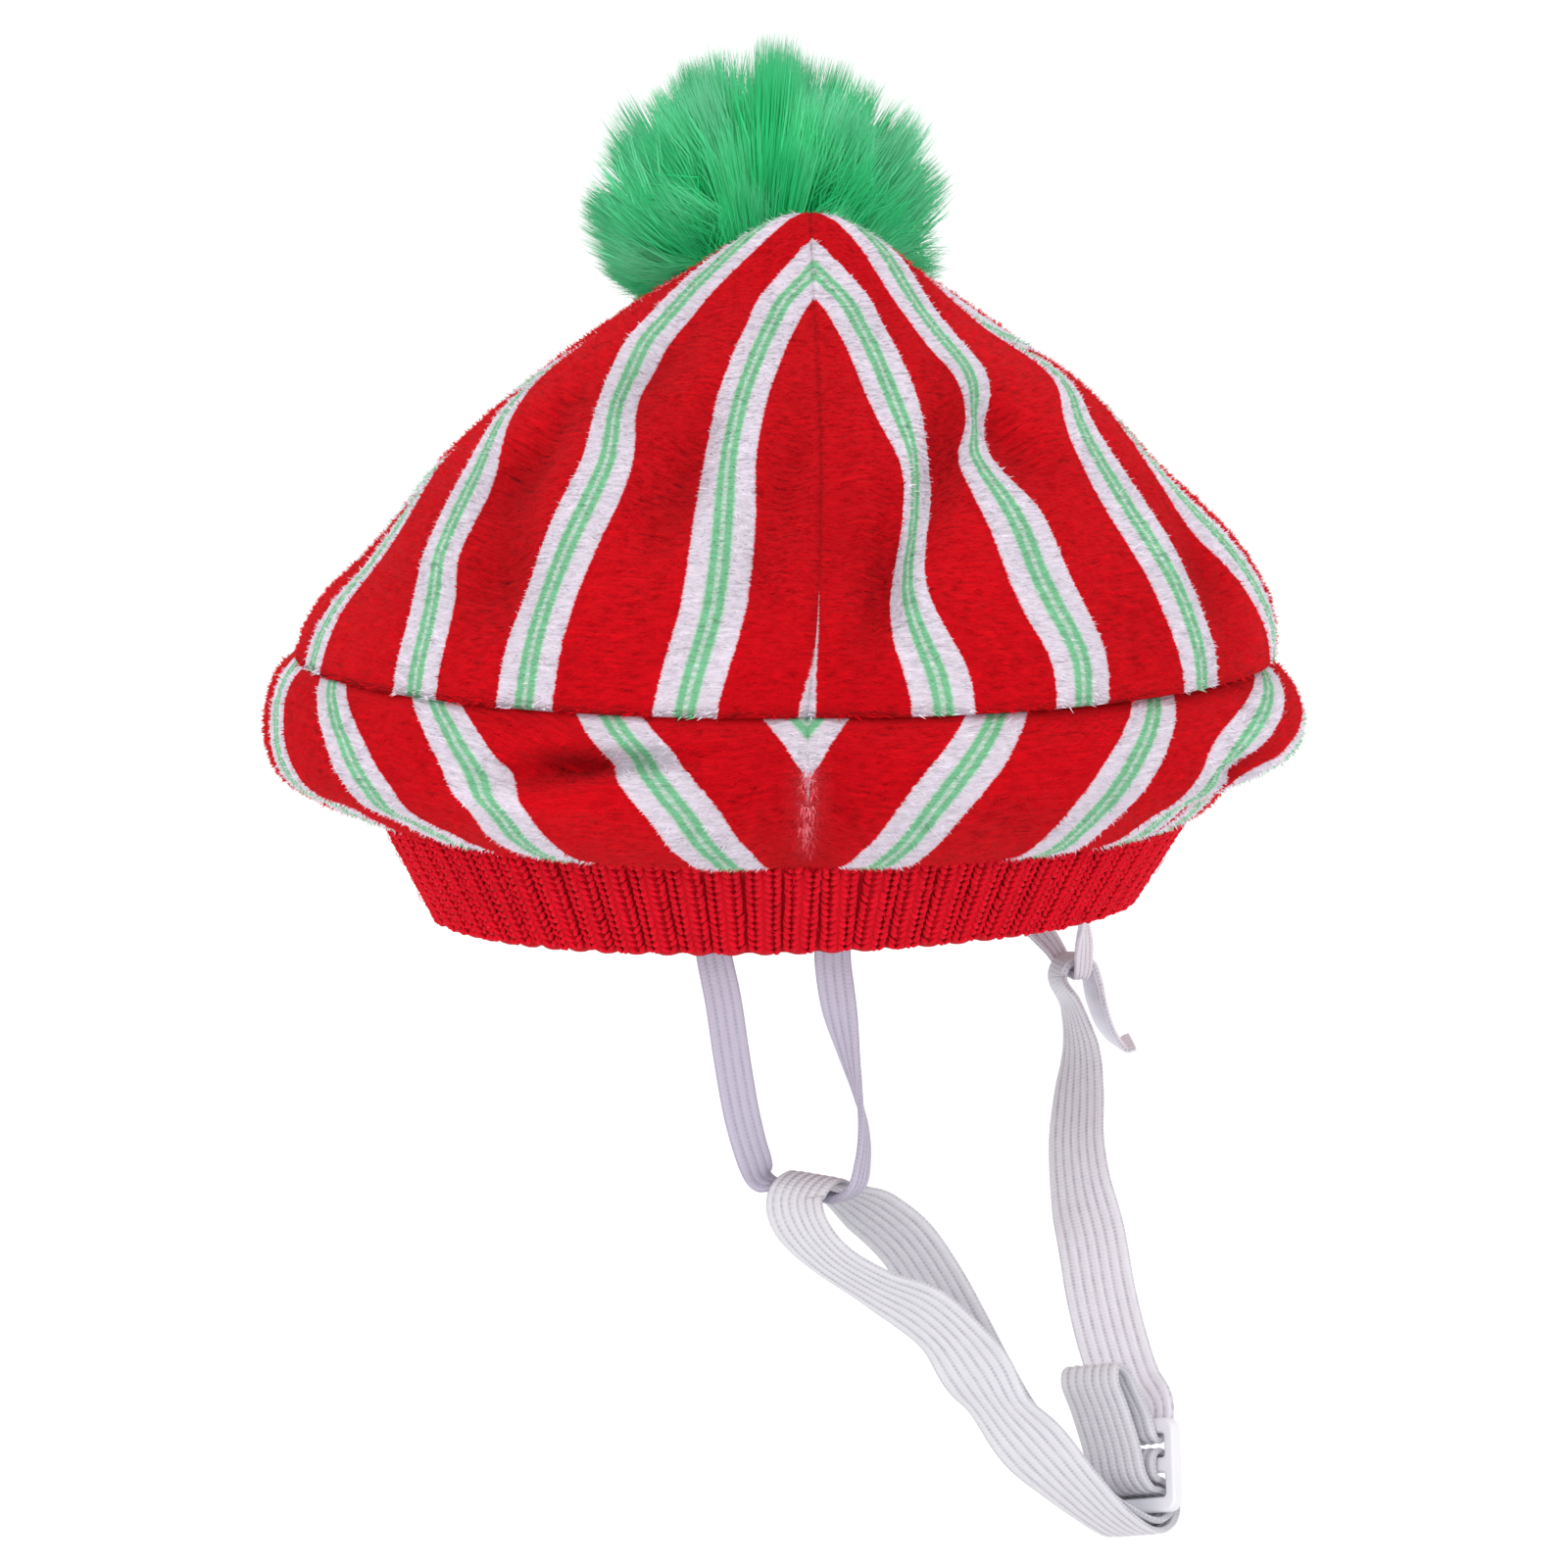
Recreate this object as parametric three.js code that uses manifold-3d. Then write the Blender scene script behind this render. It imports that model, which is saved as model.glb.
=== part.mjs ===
import * as THREE from 'three';
import { mergeVertices } from 'three/addons/utils/BufferGeometryUtils.js';
import Module from 'manifold-3d';

const wasm = await Module();
wasm.setup();

// A small plush hat for a cat or a little dog, with a fur pompom and an elastic chin strap.
// Sizes are in millimetres and angles in degrees. The origin is the middle of the mouth of the band.
// Turn 0 is the front of the hat and turn 90 its right side; a height is measured up from the mouth.

const GAP = 0.3;

// Crown: four gores that rise from the lip to the tip.
const LIP_RADIUS = 66.5;
const LIP_Z = 35.8;
const LIP_FRONT_DROP = 1.9;
const CROWN_RISE = 60;
const CROWN_POWER = 0.625;
const CROWN_SPACING = 1.35;
const CROWN_WALL = 2;
const CROWN_LEAN_X = 3.4;
const CROWN_LEAN_RATE = 4;
const TIP_BACK = 12;
const TIP_SINK = 12;
const TIP_SINK_REACH = 10;
const TIP_STOP = 0.965;
const PEAK = { x: 3.2, y: -3, rise: 6.5, halfWidth: 12, halfDepth: 7 };
const LIP_TUCK = 0.6;
const LIP_TUCK_REACH = 0.05;
const SEAM_DIP = 0.9;
const SEAM_DIP_REACH = 4;
const GORE_SWELL = 0.9;
const GORE_COLUMNS = 13;
const GORE_ROWS = 11;

// Dents in the crown: middle of each by turn and rise (0 lip, 1 tip), half sizes, lean per rise, depth.
const CROWN_DENTS = [
  { turn: 21, rise: 0.27, halfTurn: 6, halfRise: 0.24, lean: 60, depth: 3.0 },
  { turn: -5, rise: 0.4, halfTurn: 5, halfRise: 0.16, lean: 12, depth: 1.2 },
  { turn: -39, rise: 0.2, halfTurn: 8, halfRise: 0.13, lean: -30, depth: 1.8 },
  { turn: -40, rise: 0.62, halfTurn: 14, halfRise: 0.12, lean: 0, depth: 1.6 },
  { turn: 72, rise: 0.7, halfTurn: 26, halfRise: 0.1, lean: 0, depth: 2.4 },
  { turn: 88, rise: 0.36, halfTurn: 16, halfRise: 0.12, lean: 0, depth: 2.2 },
  { turn: 64, rise: 0.13, halfTurn: 6, halfRise: 0.12, lean: 20, depth: 1.8 },
  { turn: 270, rise: 0.2, halfTurn: 30, halfRise: 0.14, lean: 0, depth: 2.4 },
  { turn: 118, rise: 0.3, halfTurn: 8, halfRise: 0.22, lean: -40, depth: 2.4 },
  { turn: 163, rise: 0.25, halfTurn: 7, halfRise: 0.2, lean: 30, depth: 2.0 },
  { turn: 207, rise: 0.36, halfTurn: 9, halfRise: 0.2, lean: -25, depth: 2.4 },
  { turn: 248, rise: 0.22, halfTurn: 7, halfRise: 0.18, lean: 35, depth: 2.0 },
];

// Under ring: two half rings from the band out to the lip, on a rounded profile.
const UNDER_INNER = 52;
const UNDER_REACH = 17.9;
const UNDER_MID_Z = 26.1;
const UNDER_HALF_HEIGHT = 13;
const UNDER_START = -90;
const UNDER_END = 44;
const UNDER_POWER = 0.84;
const UNDER_POWER_SWAY = 0.2;
const UNDER_WALL = 2;
const UNDER_COLUMNS = 30;
const UNDER_ROWS = 8;
const PINCH = { depth: 1.6, reach: 7 };

// Dents in the under ring: middle by turn and by angle on the profile, half sizes, depth.
const UNDER_DENTS = [
  { turn: -30, angle: 8, halfTurn: 14, halfAngle: 16, depth: 2.0 },
  { turn: 24, angle: -30, halfTurn: 9, halfAngle: 30, depth: 1.2 },
  { turn: 76, angle: -46, halfTurn: 34, halfAngle: 24, depth: 4.2 },
  { turn: -62, angle: -58, halfTurn: 26, halfAngle: 26, depth: 2.6 },
  { turn: 128, angle: -10, halfTurn: 12, halfAngle: 30, depth: 1.8 },
  { turn: 214, angle: -20, halfTurn: 10, halfAngle: 30, depth: 1.8 },
  { turn: 252, angle: 4, halfTurn: 14, halfAngle: 18, depth: 1.6 },
];

// Knit band: a funnel of upright ribs that draws in towards the mouth.
const BAND_RIBS = 66;
const BAND_STEPS_PER_RIB = 2;
const BAND_RELIEF = 0.45;
const BAND_HEIGHT = 12.8;
const BAND_TOP_RADIUS = 53.2;
const BAND_RIM_RADIUS = 46.2;
const BAND_WALL = 2.6;
const BAND_EDGE = 1;
const MOUTH_LIFT_RIGHT = 1.2;
const MOUTH_LIFT_FRONT = 1.2;

// Pompom: a round head of fur locks that rests on the crown behind its peak.
const POMPOM = { x: -0.7, y: 27, z: 90.4 };
const POMPOM_RADIUS = 25.2;
const POMPOM_CORE = 19.5;
const LOCK_COUNT = 62;
const LOCK_ROOT = 5.6;
const LOCK_TIP = 0.9;
const LOCK_SIDES = 4;
const LOCK_VARY = 1.3;

// Elastics.
const NARROW = { width: 4.7, thick: 0.9 };
const WIDE = { width: 9.4, thick: 1 };
const STEPS_PER_ROW = 2;

// Slide: a plate with two slots; along is the direction of its bars, up runs across them.
const SLIDE = {
  centre: new THREE.Vector3(45.5, -25, -71.2),
  along: new THREE.Vector3(0.74, -0.64, 0.21).normalize(),
  rise: new THREE.Vector3(-0.01, 0.3, 0.954),
  length: 14,
  height: 12.4,
  slotLength: 10.8,
  slotHeight: 3.2,
  slotMiddle: 2.6,
  thick: 2,
  corner: 1.8,
  slotCorner: 0.5,
  round: 0.45,
};

// Routes of the elastics: points of the middle line, and the direction of the width at each.
// gather narrows the elastic where it is bunched inside a fold.
const NEAR_LOOP_ROUTE = [
  { x: -12.1, y: -45.6, z: 9, wx: 0.97, wy: -0.25, wz: 0, gather: 1 },
  { x: -11.4, y: -43.4, z: 5, wx: 0.97, wy: -0.25, wz: 0, gather: 1 },
  { x: -10.8, y: -40.6, z: 0.5, wx: 0.97, wy: -0.25, wz: 0, gather: 1 },
  { x: -9.6, y: -41.2, z: -5.5, wx: 0.99, wy: -0.1, wz: 0.1, gather: 1 },
  { x: -8.5, y: -41.7, z: -13, wx: 1, wy: 0.05, wz: 0.1, gather: 1 },
  { x: -7.2, y: -42, z: -20.5, wx: 0.98, wy: 0.2, wz: 0.15, gather: 1 },
  { x: -5.6, y: -40.4, z: -26.4, wx: 0.88, wy: 0.46, wz: 0.1, gather: 1 },
  { x: -4.1, y: -37.3, z: -29.7, wx: 0.75, wy: 0.64, wz: 0, gather: 0.82 },
  { x: -1.3, y: -37.8, z: -30.8, wx: 0.69, wy: 0.72, wz: 0, gather: 0.72 },
  { x: 2, y: -41, z: -30.7, wx: 0.69, wy: 0.72, wz: 0, gather: 0.66 },
  { x: 5.2, y: -44.2, z: -30.8, wx: 0.69, wy: 0.72, wz: 0, gather: 0.7 },
  { x: 7.3, y: -45.9, z: -29, wx: 0.6, wy: 0.8, wz: 0, gather: 0.88 },
  { x: 8.2, y: -45.2, z: -25.4, wx: 0.4, wy: 0.92, wz: 0, gather: 1 },
  { x: 8.3, y: -43.8, z: -21.5, wx: 0.18, wy: 0.98, wz: 0, gather: 1 },
  { x: 7.6, y: -42.6, z: -17.4, wx: -0.12, wy: 0.99, wz: 0, gather: 1 },
  { x: 6.4, y: -42, z: -12, wx: -0.6, wy: 0.8, wz: 0, gather: 1 },
  { x: 5.1, y: -41.9, z: -5.5, wx: -0.95, wy: 0.25, wz: 0, gather: 1 },
  { x: 4.4, y: -41.6, z: 0.5, wx: -1, wy: -0.1, wz: 0, gather: 1 },
  { x: 4.7, y: -44.5, z: 5, wx: -1, wy: -0.1, wz: 0, gather: 1 },
  { x: 4.9, y: -47, z: 9, wx: -1, wy: -0.1, wz: 0, gather: 1 },
];
const FAR_LOOP_ROUTE = [
  { x: 34.6, y: 32.2, z: 9, wx: 0.68, wy: -0.73, wz: 0, gather: 1 },
  { x: 32.9, y: 30.6, z: 5, wx: 0.68, wy: -0.73, wz: 0, gather: 1 },
  { x: 30.9, y: 28.8, z: 0.5, wx: 0.7, wy: -0.7, wz: 0, gather: 1 },
  { x: 34.8, y: 26.6, z: -4.6, wx: 0.9, wy: -0.2, wz: 0.3, gather: 0.9 },
  { x: 38.6, y: 24.4, z: -9.4, wx: 0.9, wy: 0.3, wz: 0.2, gather: 0.66 },
  { x: 40.3, y: 22.8, z: -12.1, wx: 0.95, wy: 0.3, wz: 0, gather: 0.5 },
  { x: 41.1, y: 20.4, z: -12.2, wx: 0.95, wy: 0.3, wz: 0, gather: 0.5 },
  { x: 41.9, y: 18, z: -12.1, wx: 0.95, wy: 0.3, wz: 0, gather: 0.5 },
  { x: 42, y: 16.2, z: -9, wx: 0.8, wy: 0.6, wz: 0, gather: 0.66 },
  { x: 41.6, y: 14, z: -4.6, wx: 0.3, wy: 0.95, wz: 0, gather: 0.9 },
  { x: 40.4, y: 11.7, z: 0.5, wx: -0.25, wy: 0.97, wz: 0, gather: 1 },
  { x: 43, y: 12.3, z: 5, wx: -0.28, wy: 0.96, wz: 0, gather: 1 },
  { x: 45.4, y: 13, z: 9, wx: -0.28, wy: 0.96, wz: 0, gather: 1 },
];

// Stretches of the wide elastic that go round the bars of the slide:
// out is measured off the face of the plate and up across its bars.
const SEWN_END = [
  { out: -1.9, up: -0.8 },
  { out: -1.75, up: 0.75 },
  { out: -0.75, up: 1.75 },
  { out: 0.75, up: 1.75 },
  { out: 1.75, up: 0.75 },
  { out: 1.75, up: -0.75 },
  { out: 0.9, up: -1.75 },
  { out: -0.4, up: -2 },
  { out: -1.9, up: -2.6 },
  { out: -3, up: -4.1 },
  { out: -3.2, up: -5.9 },
  { out: -2.3, up: -7.5 },
  { out: -0.6, up: -8.4 },
  { out: 2, up: -8.5 },
];
const SLACK_RUN = [
  { out: 2, up: -7.2 },
  { out: -0.2, up: -7.1 },
  { out: -1.5, up: -6.4 },
  { out: -1.95, up: -5.1 },
  { out: -1.4, up: -3.8 },
  { out: -0.2, up: -3.3 },
  { out: 2, up: -3 },
  { out: 3.9, up: -1.4 },
  { out: 5.2, up: 2.5 },
  { out: 7.4, up: 7.2 },
  { out: 9.4, up: 11 },
  { out: 8.9, up: 12.7 },
  { out: 7, up: 12.3 },
  { out: 4.6, up: 9.4 },
  { out: 2.6, up: 6.6 },
  { out: 1.9, up: 5 },
  { out: 1.2, up: 3.75 },
  { out: 0, up: 3.25 },
  { out: -1.2, up: 3.75 },
  { out: -1.95, up: 5.2 },
  { out: -2.5, up: 7.2 },
];
const FRONT_RUN = [
  { x: 40.6, y: -31.4, z: -76, wx: 0.72, wy: -0.64, wz: 0.25 },
  { x: 35.8, y: -34.2, z: -71, wx: 0.62, wy: -0.72, wz: 0.3 },
  { x: 30.9, y: -36.4, z: -65.4, wx: 0.52, wy: -0.77, wz: 0.36 },
  { x: 26.4, y: -38.4, z: -59.6, wx: 0.48, wy: -0.79, wz: 0.38 },
  { x: 23.2, y: -40, z: -54.6, wx: 0.46, wy: -0.8, wz: 0.38 },
  { x: 20, y: -41.8, z: -49.8, wx: 0.42, wy: -0.8, wz: 0.42 },
  { x: 15.4, y: -43.8, z: -45.4, wx: 0.32, wy: -0.84, wz: 0.46 },
  { x: 9.6, y: -45.6, z: -42, wx: 0.3, wy: -0.84, wz: 0.44 },
  { x: 3.9, y: -46.2, z: -38.2, wx: 0.46, wy: -0.8, wz: 0.38 },
  { x: 0.5, y: -45.2, z: -34.4, wx: 0.64, wy: -0.72, wz: 0.2 },
  { x: -0.5, y: -43.6, z: -31.3, wx: 0.72, wy: -0.69, wz: 0.03 },
  { x: 0.2, y: -42.8, z: -29.7, wx: 0.72, wy: -0.69, wz: 0 },
  { x: 2, y: -41, z: -28.7, wx: 0.72, wy: -0.69, wz: 0 },
  { x: 3.8, y: -39.2, z: -29.6, wx: 0.72, wy: -0.69, wz: 0 },
  { x: 5.8, y: -38, z: -31.3, wx: 0.7, wy: -0.69, wz: 0.15 },
  { x: 9.6, y: -37, z: -34, wx: 0.64, wy: -0.69, wz: 0.34 },
  { x: 14, y: -36, z: -38, wx: 0.58, wy: -0.7, wz: 0.42 },
  { x: 17.8, y: -35.4, z: -43.6, wx: 0.56, wy: -0.72, wz: 0.4 },
  { x: 20.8, y: -35, z: -49, wx: 0.54, wy: -0.74, wz: 0.4 },
  { x: 24.2, y: -34.4, z: -55.4, wx: 0.52, wy: -0.76, wz: 0.38 },
  { x: 28, y: -33.8, z: -61.8, wx: 0.54, wy: -0.75, wz: 0.36 },
  { x: 33, y: -32.8, z: -68, wx: 0.62, wy: -0.72, wz: 0.3 },
  { x: 38.8, y: -31, z: -74, wx: 0.7, wy: -0.66, wz: 0.25 },
];
const RIGHT_RUN = [
  { x: 45.4, y: -17.4, z: -62.4, wx: 0.86, wy: -0.48, wz: 0.14 },
  { x: 43.7, y: -12.4, z: -57.4, wx: 0.95, wy: -0.3, wz: 0.1 },
  { x: 42.5, y: -6.6, z: -51.6, wx: 0.98, wy: -0.2, wz: 0.06 },
  { x: 41.7, y: -1, z: -45.2, wx: 0.95, wy: -0.3, wz: 0.04 },
  { x: 40.7, y: 4, z: -39.6, wx: 0.76, wy: -0.64, wz: 0 },
  { x: 40.4, y: 8.4, z: -33.6, wx: 0.64, wy: -0.76, wz: -0.05 },
  { x: 41, y: 12.4, z: -27.8, wx: 0.56, wy: -0.82, wz: -0.08 },
  { x: 41.4, y: 15.8, z: -22, wx: 0.4, wy: -0.91, wz: -0.05 },
  { x: 40.4, y: 18.4, z: -16.4, wx: 0.3, wy: -0.95, wz: 0, gather: 0.78 },
  { x: 38.7, y: 19.6, z: -12.8, wx: 0.3, wy: -0.95, wz: 0, gather: 0.54 },
  { x: 39.3, y: 19.8, z: -10.9, wx: 0.3, wy: -0.95, wz: 0, gather: 0.48 },
  { x: 41.1, y: 20.4, z: -10.1, wx: 0.3, wy: -0.95, wz: 0, gather: 0.48 },
  { x: 42.9, y: 21, z: -10.9, wx: 0.3, wy: -0.95, wz: 0, gather: 0.48 },
  { x: 43.6, y: 21.3, z: -12.9, wx: 0.3, wy: -0.95, wz: 0, gather: 0.58 },
  { x: 44.4, y: 21.6, z: -16.8, wx: 0.24, wy: -0.97, wz: 0, gather: 0.8 },
  { x: 46, y: 21.8, z: -20.8, wx: 0.18, wy: -0.98, wz: 0, gather: 0.9 },
  { x: 47.8, y: 21.8, z: -22.6, wx: 0.15, wy: -0.98, wz: 0, gather: 0.9 },
  { x: 49.4, y: 21.8, z: -22.2, wx: 0.15, wy: -0.98, wz: 0, gather: 0.9 },
];

const radians = THREE.MathUtils.degToRad;

// Falls from one at the middle to nothing a few half sizes away.
function bell(...steps) {
  const square = steps.reduce((sum, step) => sum + step * step, 0);
  return Math.exp(-square);
}

// Shortest way round from one turn to another, in degrees.
function turnBetween(turn, middle) {
  return THREE.MathUtils.euclideanModulo(turn - middle + 180, 360) - 180;
}

function nearestSeam(turn, spacing) {
  return turnBetween(turn, Math.round(turn / spacing) * spacing);
}

function crownDent(turn, rise) {
  const depths = CROWN_DENTS.map((dent) => {
    const above = rise - dent.rise;
    const aside = turnBetween(turn, dent.turn + dent.lean * above);
    return dent.depth * bell(aside / dent.halfTurn, above / dent.halfRise);
  });
  return depths.reduce((sum, depth) => sum + depth, 0);
}

// Height of the seam between crown and under ring, lower at the front.
function lipZ(turn) {
  const front = 0.5 + 0.5 * Math.cos(radians(turn));
  return LIP_Z - LIP_FRONT_DROP * front ** 1.5;
}

// Point of the crown's outer face; rise runs from 0 at the lip to 1 at the tip.
function crownPoint(turn, rise) {
  const angle = radians(turn);
  const inward = rise ** CROWN_SPACING;
  const seamAway = radians(nearestSeam(turn, 90)) * LIP_RADIUS * (1 - inward);
  const swell = GORE_SWELL * Math.sin(2 * angle) ** 2 * (1 - inward);
  const dip = SEAM_DIP * bell(seamAway / SEAM_DIP_REACH) * (1 - inward);
  const change = swell - dip - crownDent(turn, rise);
  const tuck = LIP_TUCK * bell(rise / LIP_TUCK_REACH);
  const radius = LIP_RADIUS * (1 - inward) - tuck + 0.75 * change;
  const x = radius * Math.sin(angle) + CROWN_LEAN_X * (1 - Math.exp(-CROWN_LEAN_RATE * rise));
  const y = -radius * Math.cos(angle) + TIP_BACK * inward ** 2;
  const dome = CROWN_RISE * inward ** CROWN_POWER + 0.66 * change * Math.min(1, rise * 6);
  const peak = PEAK.rise * bell((x - PEAK.x) / PEAK.halfWidth, (y - PEAK.y) / PEAK.halfDepth);
  const sink = TIP_SINK * bell((x - CROWN_LEAN_X) / TIP_SINK_REACH, (y - TIP_BACK) / TIP_SINK_REACH);
  const base = LIP_Z + (lipZ(turn) - LIP_Z) * (1 - inward);
  return new THREE.Vector3(x, y, base + dome + peak - sink);
}

function underDent(turn, angle) {
  const depths = UNDER_DENTS.map((dent) => {
    const aside = turnBetween(turn, dent.turn) / dent.halfTurn;
    return dent.depth * bell(aside, (angle - dent.angle) / dent.halfAngle);
  });
  return depths.reduce((sum, depth) => sum + depth, 0);
}

// Point of the under ring's outer face; along runs from 0 at the band to 1 at the lip.
function underPoint(turn, along) {
  const angle = UNDER_START + (UNDER_END - UNDER_START) * along;
  const slope = radians(angle);
  const power = UNDER_POWER + UNDER_POWER_SWAY * Math.sin(radians(turn));
  const seamAway = radians(nearestSeam(turn, 180)) * (UNDER_INNER + UNDER_REACH);
  const middle = Math.sin(Math.PI * along);
  const pinch = PINCH.depth * bell(seamAway / PINCH.reach) * middle;
  const dent = underDent(turn, angle) * Math.min(1, 4 * middle) + pinch;
  const out = Math.max(Math.cos(slope), 0);
  const radius = UNDER_INNER + UNDER_REACH * out ** power - dent * out;
  const top = UNDER_MID_Z + UNDER_HALF_HEIGHT * Math.sin(radians(UNDER_END));
  const drop = (top + 2 * GAP - lipZ(turn)) * along ** 2;
  const z = UNDER_MID_Z + UNDER_HALF_HEIGHT * Math.sin(slope) - dent * Math.sin(slope) - drop;
  return new THREE.Vector3(radius * Math.sin(radians(turn)), -radius * Math.cos(radians(turn)), z);
}

function geometryFrom(points, triangles) {
  const geometry = new THREE.BufferGeometry();
  const flat = points.flatMap((point) => [point.x, point.y, point.z]);
  geometry.setAttribute('position', new THREE.Float32BufferAttribute(flat, 3));
  geometry.setIndex(triangles.flat());
  return geometry;
}

function quad(a, b, c, d) {
  return [[a, b, c], [a, c, d]];
}

// Closed wall behind a patch: the outer face, the same face moved inwards, and the edges between them.
function wallFrom(pointAt, columns, rows, wall) {
  const step = 1e-3;
  const outer = [];
  const inner = [];
  for (let row = 0; row <= rows; row += 1) {
    for (let column = 0; column <= columns; column += 1) {
      const u = column / columns;
      const v = row / rows;
      const point = pointAt(u, v);
      const across = pointAt(u + step, v).sub(pointAt(u - step, v));
      const up = pointAt(u, Math.min(v + step, 1)).sub(pointAt(u, Math.max(v - step, 0)));
      outer.push(point);
      inner.push(point.clone().addScaledVector(across.cross(up).normalize(), -wall));
    }
  }
  const count = outer.length;
  const at = (column, row) => row * (columns + 1) + column;
  const triangles = [];
  const side = (from, to) => triangles.push(...quad(to, from, from + count, to + count));
  for (let row = 0; row < rows; row += 1) {
    for (let column = 0; column < columns; column += 1) {
      const corners = [at(column, row), at(column + 1, row), at(column + 1, row + 1), at(column, row + 1)];
      triangles.push(...quad(...corners));
      triangles.push(...quad(...corners.map((corner) => corner + count).reverse()));
    }
    side(at(columns, row), at(columns, row + 1));
    side(at(0, row + 1), at(0, row));
  }
  for (let column = 0; column < columns; column += 1) {
    side(at(column, 0), at(column + 1, 0));
    side(at(column + 1, rows), at(column, rows));
  }
  return geometryFrom([...outer, ...inner], triangles);
}

// One gore between two seams; its sides stand off the seams by half a gap.
function crownGore(startTurn) {
  const pointAt = (u, v) => {
    const rise = v * TIP_STOP;
    const radius = Math.max(LIP_RADIUS * (1 - rise ** CROWN_SPACING), 2);
    const margin = THREE.MathUtils.radToDeg(GAP / radius) * 0.6 + 0.06;
    return crownPoint(startTurn + margin + (90 - 2 * margin) * u, rise);
  };
  return wallFrom(pointAt, GORE_COLUMNS, GORE_ROWS, CROWN_WALL);
}

function underHalf(startTurn) {
  const margin = THREE.MathUtils.radToDeg(GAP / UNDER_INNER) * 0.5;
  const pointAt = (u, v) => underPoint(startTurn + margin + (180 - 2 * margin) * u, v);
  return wallFrom(pointAt, UNDER_COLUMNS, UNDER_ROWS, UNDER_WALL);
}

function knitBand() {
  const steps = BAND_RIBS * BAND_STEPS_PER_RIB;
  const slope = (BAND_TOP_RADIUS - BAND_RIM_RADIUS) / BAND_HEIGHT;
  const outerAt = (z) => BAND_RIM_RADIUS + slope * z;
  const section = [
    { radius: outerAt(0) - 0.6, z: 0, rib: 0.6 },
    { radius: outerAt(BAND_EDGE), z: BAND_EDGE, rib: 1 },
    { radius: outerAt(6) - 0.3, z: 6, rib: 1 },
    { radius: outerAt(BAND_HEIGHT), z: BAND_HEIGHT, rib: 0.6 },
    { radius: outerAt(BAND_HEIGHT) - BAND_WALL, z: BAND_HEIGHT, rib: 0 },
    { radius: outerAt(BAND_EDGE) - BAND_WALL, z: BAND_EDGE, rib: 0 },
    { radius: outerAt(0) - BAND_WALL + 0.8, z: 0, rib: 0 },
  ];
  const points = [];
  const triangles = [];
  for (let step = 0; step < steps; step += 1) {
    const angle = (step / steps) * 2 * Math.PI;
    const wave = BAND_RELIEF * Math.cos(BAND_RIBS * angle);
    const front = (0.5 + 0.5 * Math.cos(angle)) ** 2;
    const lift = MOUTH_LIFT_RIGHT * Math.sin(angle) + MOUTH_LIFT_FRONT * front;
    for (const { radius, z, rib } of section) {
      const out = radius + wave * rib;
      const height = z + lift * (1 - z / BAND_HEIGHT);
      points.push(new THREE.Vector3(out * Math.sin(angle), -out * Math.cos(angle), height));
    }
  }
  const at = (step, corner) => (step % steps) * section.length + (corner % section.length);
  for (let step = 0; step < steps; step += 1) {
    for (let corner = 0; corner < section.length; corner += 1) {
      triangles.push(...quad(
        at(step, corner), at(step + 1, corner), at(step + 1, corner + 1), at(step, corner + 1)));
    }
  }
  return geometryFrom(points, triangles);
}

// Flat elastic along a route: a thin rectangle carried along the middle line.
function elastic(route, size) {
  const middle = new THREE.CatmullRomCurve3(route.map((row) => new THREE.Vector3(row.x, row.y, row.z)));
  const widths = new THREE.CatmullRomCurve3(route.map((row) => new THREE.Vector3(row.wx, row.wy, row.wz)));
  const gathers = new THREE.CatmullRomCurve3(
    route.map((row, index) => new THREE.Vector3(row.gather ?? 1, index, 0)));
  const stations = (route.length - 1) * STEPS_PER_ROW;
  const points = [];
  const triangles = [];
  for (let station = 0; station <= stations; station += 1) {
    const t = station / stations;
    const centre = middle.getPoint(t);
    const travel = middle.getTangent(t);
    const across = widths.getPoint(t);
    across.addScaledVector(travel, -across.dot(travel)).normalize();
    const face = travel.clone().cross(across);
    const gather = gathers.getPoint(t).x;
    const half = size.width * gather * 0.5;
    const deep = size.thick * 0.5 * (1 + 0.7 * (1 - gather));
    for (const [side, front] of [[1, 1], [-1, 1], [-1, -1], [1, -1]]) {
      points.push(centre.clone().addScaledVector(across, side * half).addScaledVector(face, front * deep));
    }
  }
  const at = (station, corner) => station * 4 + (corner % 4);
  for (let station = 0; station < stations; station += 1) {
    for (let corner = 0; corner < 4; corner += 1) {
      triangles.push(...quad(
        at(station, corner), at(station, corner + 1), at(station + 1, corner + 1), at(station + 1, corner)));
    }
  }
  triangles.push(...quad(at(0, 3), at(0, 2), at(0, 1), at(0, 0)));
  triangles.push(...quad(at(stations, 0), at(stations, 1), at(stations, 2), at(stations, 3)));
  return geometryFrom(points, triangles);
}

function slideFace() {
  return SLIDE.along.clone().cross(SLIDE.rise).normalize();
}

function slideUp() {
  return slideFace().cross(SLIDE.along).normalize();
}

// Rows measured on the slide, turned into rows of a route with the width along the bars.
function roundBars(rows) {
  const face = slideFace();
  const up = slideUp();
  return rows.map((row) => {
    const point = SLIDE.centre.clone().addScaledVector(face, row.out).addScaledVector(up, row.up);
    return { x: point.x, y: point.y, z: point.z, wx: SLIDE.along.x, wy: SLIDE.along.y, wz: SLIDE.along.z };
  });
}

function chinStrap() {
  const route = [...roundBars(SEWN_END), ...FRONT_RUN, ...roundBars(SLACK_RUN), ...RIGHT_RUN];
  return elastic(route, WIDE);
}

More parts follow.
